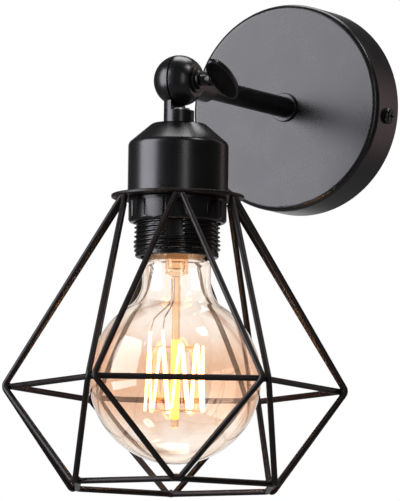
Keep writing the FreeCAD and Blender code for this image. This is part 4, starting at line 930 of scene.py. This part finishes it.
class LIGHT_OT_stage(PieceOperator, bpy.types.Operator):
    """Make the floor, the studio's lamps and world, and the camera."""

    bl_idname = "wall_light.stage"
    bl_label = "Studio"
    # name: azimuth, elevation, distance, width, height, power, colour
    lamps = {
        "key_box": (-44.0, 12.0, 1.35, 1.05, 1.40, 29.0, (0.93, 0.92, 1.0)),
        "side_strip": (44.0, 8.0, 1.60, 0.20, 1.10, 2.6, (1.0, 1.0, 1.0)),
        "top_box": (86.0, 54.0, 1.40, 0.30, 0.30, 3.2, (1.0, 1.0, 1.0)),
        "back_box": (198.0, 68.0, 1.40, 0.80, 0.75, 10.0, (1.0, 1.0, 1.0)),
        "rim_strip": (150.0, 12.0, 1.50, 0.26, 2.60, 1.9, (1.0, 0.72, 0.74)),
    }
    # strength of the world on matt surfaces, in gloss, and in gloss that mirrors what lies behind
    soft, gloss, gloss_behind = 0.20, 0.06, 0.7
    behind_span = (0.92, 0.99)   # cosines from the edge to the full strength of what lies behind
    floor_tones, floor_grain = ((0.80, 0.80, 0.79), (0.84, 0.84, 0.83)), 3.0
    clip = (0.1, 60.0)

    def execute(self, context):
        sizes = context.scene.studio_sizes
        self.floor(sizes)
        self.world(context.scene)
        for name, (azimuth, elevation, distance, wide, tall, power, tone) in self.lamps.items():
            lamp = bpy.data.lights.new(name, "AREA")
            lamp.shape = "RECTANGLE"
            lamp.size, lamp.size_y = wide, tall
            lamp.energy, lamp.color = power, tone
            holder = bpy.data.objects.new(name, lamp)
            toward = self.toward(math.radians(azimuth), math.radians(elevation))
            holder.matrix_world = (Matrix.Translation(Vector(sizes.aim) + toward * distance)
                                   @ toward.to_track_quat("Z", "Y").to_matrix().to_4x4())
            context.scene.collection.objects.link(holder)
        self.camera(context.scene, sizes)
        context.scene.view_settings.view_transform = "Standard"
        return {"FINISHED"}

    def toward(self, azimuth, elevation):
        """Direction from the light to a place in the studio."""
        return Vector((math.sin(azimuth) * math.cos(elevation),
                       -math.cos(azimuth) * math.cos(elevation), math.sin(elevation)))

    def floor(self, sizes):
        half = sizes.floor_side / 2
        mesh = bpy.data.meshes.new("studio_floor")
        mesh.from_pydata([(x, y, -sizes.floor_drop) for x, y in
                          ((-half, -half), (half, -half), (half, half), (-half, half))],
                         [], [(0, 1, 2, 3)])
        material, tree = new_material("pale floor")
        grain = noise(tree, place(tree, PLAIN), self.floor_grain)
        matt = node(tree, "ShaderNodeBsdfDiffuse", {"Color": blend(tree, grain, *self.floor_tones)})
        white = node(tree, "ShaderNodeEmission", {"Color": WHITE, "Strength": 1.0})
        path = node(tree, "ShaderNodeLightPath")
        switched(tree, seen_straight(tree, path), matt, white)
        mesh.materials.append(material)
        ground = bpy.data.objects.new("studio_floor", mesh)
        bpy.context.scene.collection.objects.link(ground)

    def world(self, scene):
        """White to the eye and through glass, dim in gloss, soft on everything else."""
        world = bpy.data.worlds.new("studio")
        world.use_nodes = True
        tree = world.node_tree
        tree.nodes.clear()
        path = node(tree, "ShaderNodeLightPath")
        seen = seen_straight(tree, path)
        behind = self.toward(scene.studio_sizes.azimuth, 0.0) * -1.0
        along = node(tree, "ShaderNodeVectorMath", {
            0: node(tree, "ShaderNodeTexCoord").outputs["Generated"], 1: behind},
            operation="DOT_PRODUCT").outputs["Value"]
        mirrored = times(tree, path.outputs["Is Glossy Ray"], sums(tree, "SUBTRACT", 1.0, seen))
        edge = spread(tree, along, self.behind_span,
                      (self.gloss - self.soft, self.gloss_behind - self.soft), "SMOOTHSTEP")
        strength = sums(tree, "ADD", self.soft, times(tree, seen, 1.0 - self.soft))
        strength = sums(tree, "ADD", strength, times(tree, mirrored, edge))
        light = node(tree, "ShaderNodeBackground", {"Color": WHITE, "Strength": strength})
        node(tree, "ShaderNodeOutputWorld", {"Surface": light})
        scene.world = world

    def camera(self, scene, sizes):
        """Camera at the photograph's angle; a roll turns the picture clockwise."""
        back = self.toward(sizes.azimuth, sizes.elevation)
        right = Vector((math.cos(sizes.azimuth), math.sin(sizes.azimuth), 0.0))
        up = back.cross(right)
        lean_cos, lean_sin = math.cos(sizes.roll), math.sin(sizes.roll)
        side = right * lean_cos + up * lean_sin
        top = up * lean_cos - right * lean_sin
        turn = Matrix((side, top, back)).transposed().to_4x4()
        lens = bpy.data.cameras.new("camera")
        lens.sensor_fit = "HORIZONTAL"
        lens.sensor_width = sizes.sensor
        lens.lens = sizes.lens_pixels / sizes.picture_pixels * lens.sensor_width
        lens.clip_start, lens.clip_end = self.clip
        eye = bpy.data.objects.new("camera", lens)
        eye.matrix_world = Matrix.Translation(Vector(sizes.target) + back * sizes.distance) @ turn
        scene.collection.objects.link(eye)
        scene.camera = eye


OPERATORS = (LIGHT_OT_finishes, LIGHT_OT_cage, LIGHT_OT_bulb, LIGHT_OT_skirt,
             LIGHT_OT_ring, LIGHT_OT_stage)


class LIGHT_PT_panel(bpy.types.Panel):
    """Sizes and steps of the wall light."""

    bl_idname = "LIGHT_PT_panel"
    bl_label = "Cage Wall Light"
    bl_space_type = "VIEW_3D"
    bl_region_type = "UI"
    bl_category = "Wall Light"

    def draw(self, context):
        for group, kind in GROUPS.items():
            box = self.layout.box()
            box.label(text=kind.__name__)
            for name in kind.__annotations__:
                box.prop(getattr(context.scene, group), name)
        for operator in OPERATORS:
            self.layout.operator(operator.bl_idname)


def register():
    for kind in (*GROUPS.values(), *OPERATORS, LIGHT_PT_panel):
        bpy.utils.register_class(kind)
    for group, kind in GROUPS.items():
        setattr(bpy.types.Scene, group, PointerProperty(type=kind))


def unregister():
    for group in GROUPS:
        delattr(bpy.types.Scene, group)
    for kind in reversed((*GROUPS.values(), *OPERATORS, LIGHT_PT_panel)):
        bpy.utils.unregister_class(kind)


def main():
    register()
    bpy.ops.wall_light.finishes()
    bpy.ops.wall_light.cage()
    bpy.ops.wall_light.bulb()
    bpy.ops.wall_light.skirt()
    bpy.ops.wall_light.ring()
    bpy.ops.wall_light.stage()


if __name__ == "__main__":
    main()
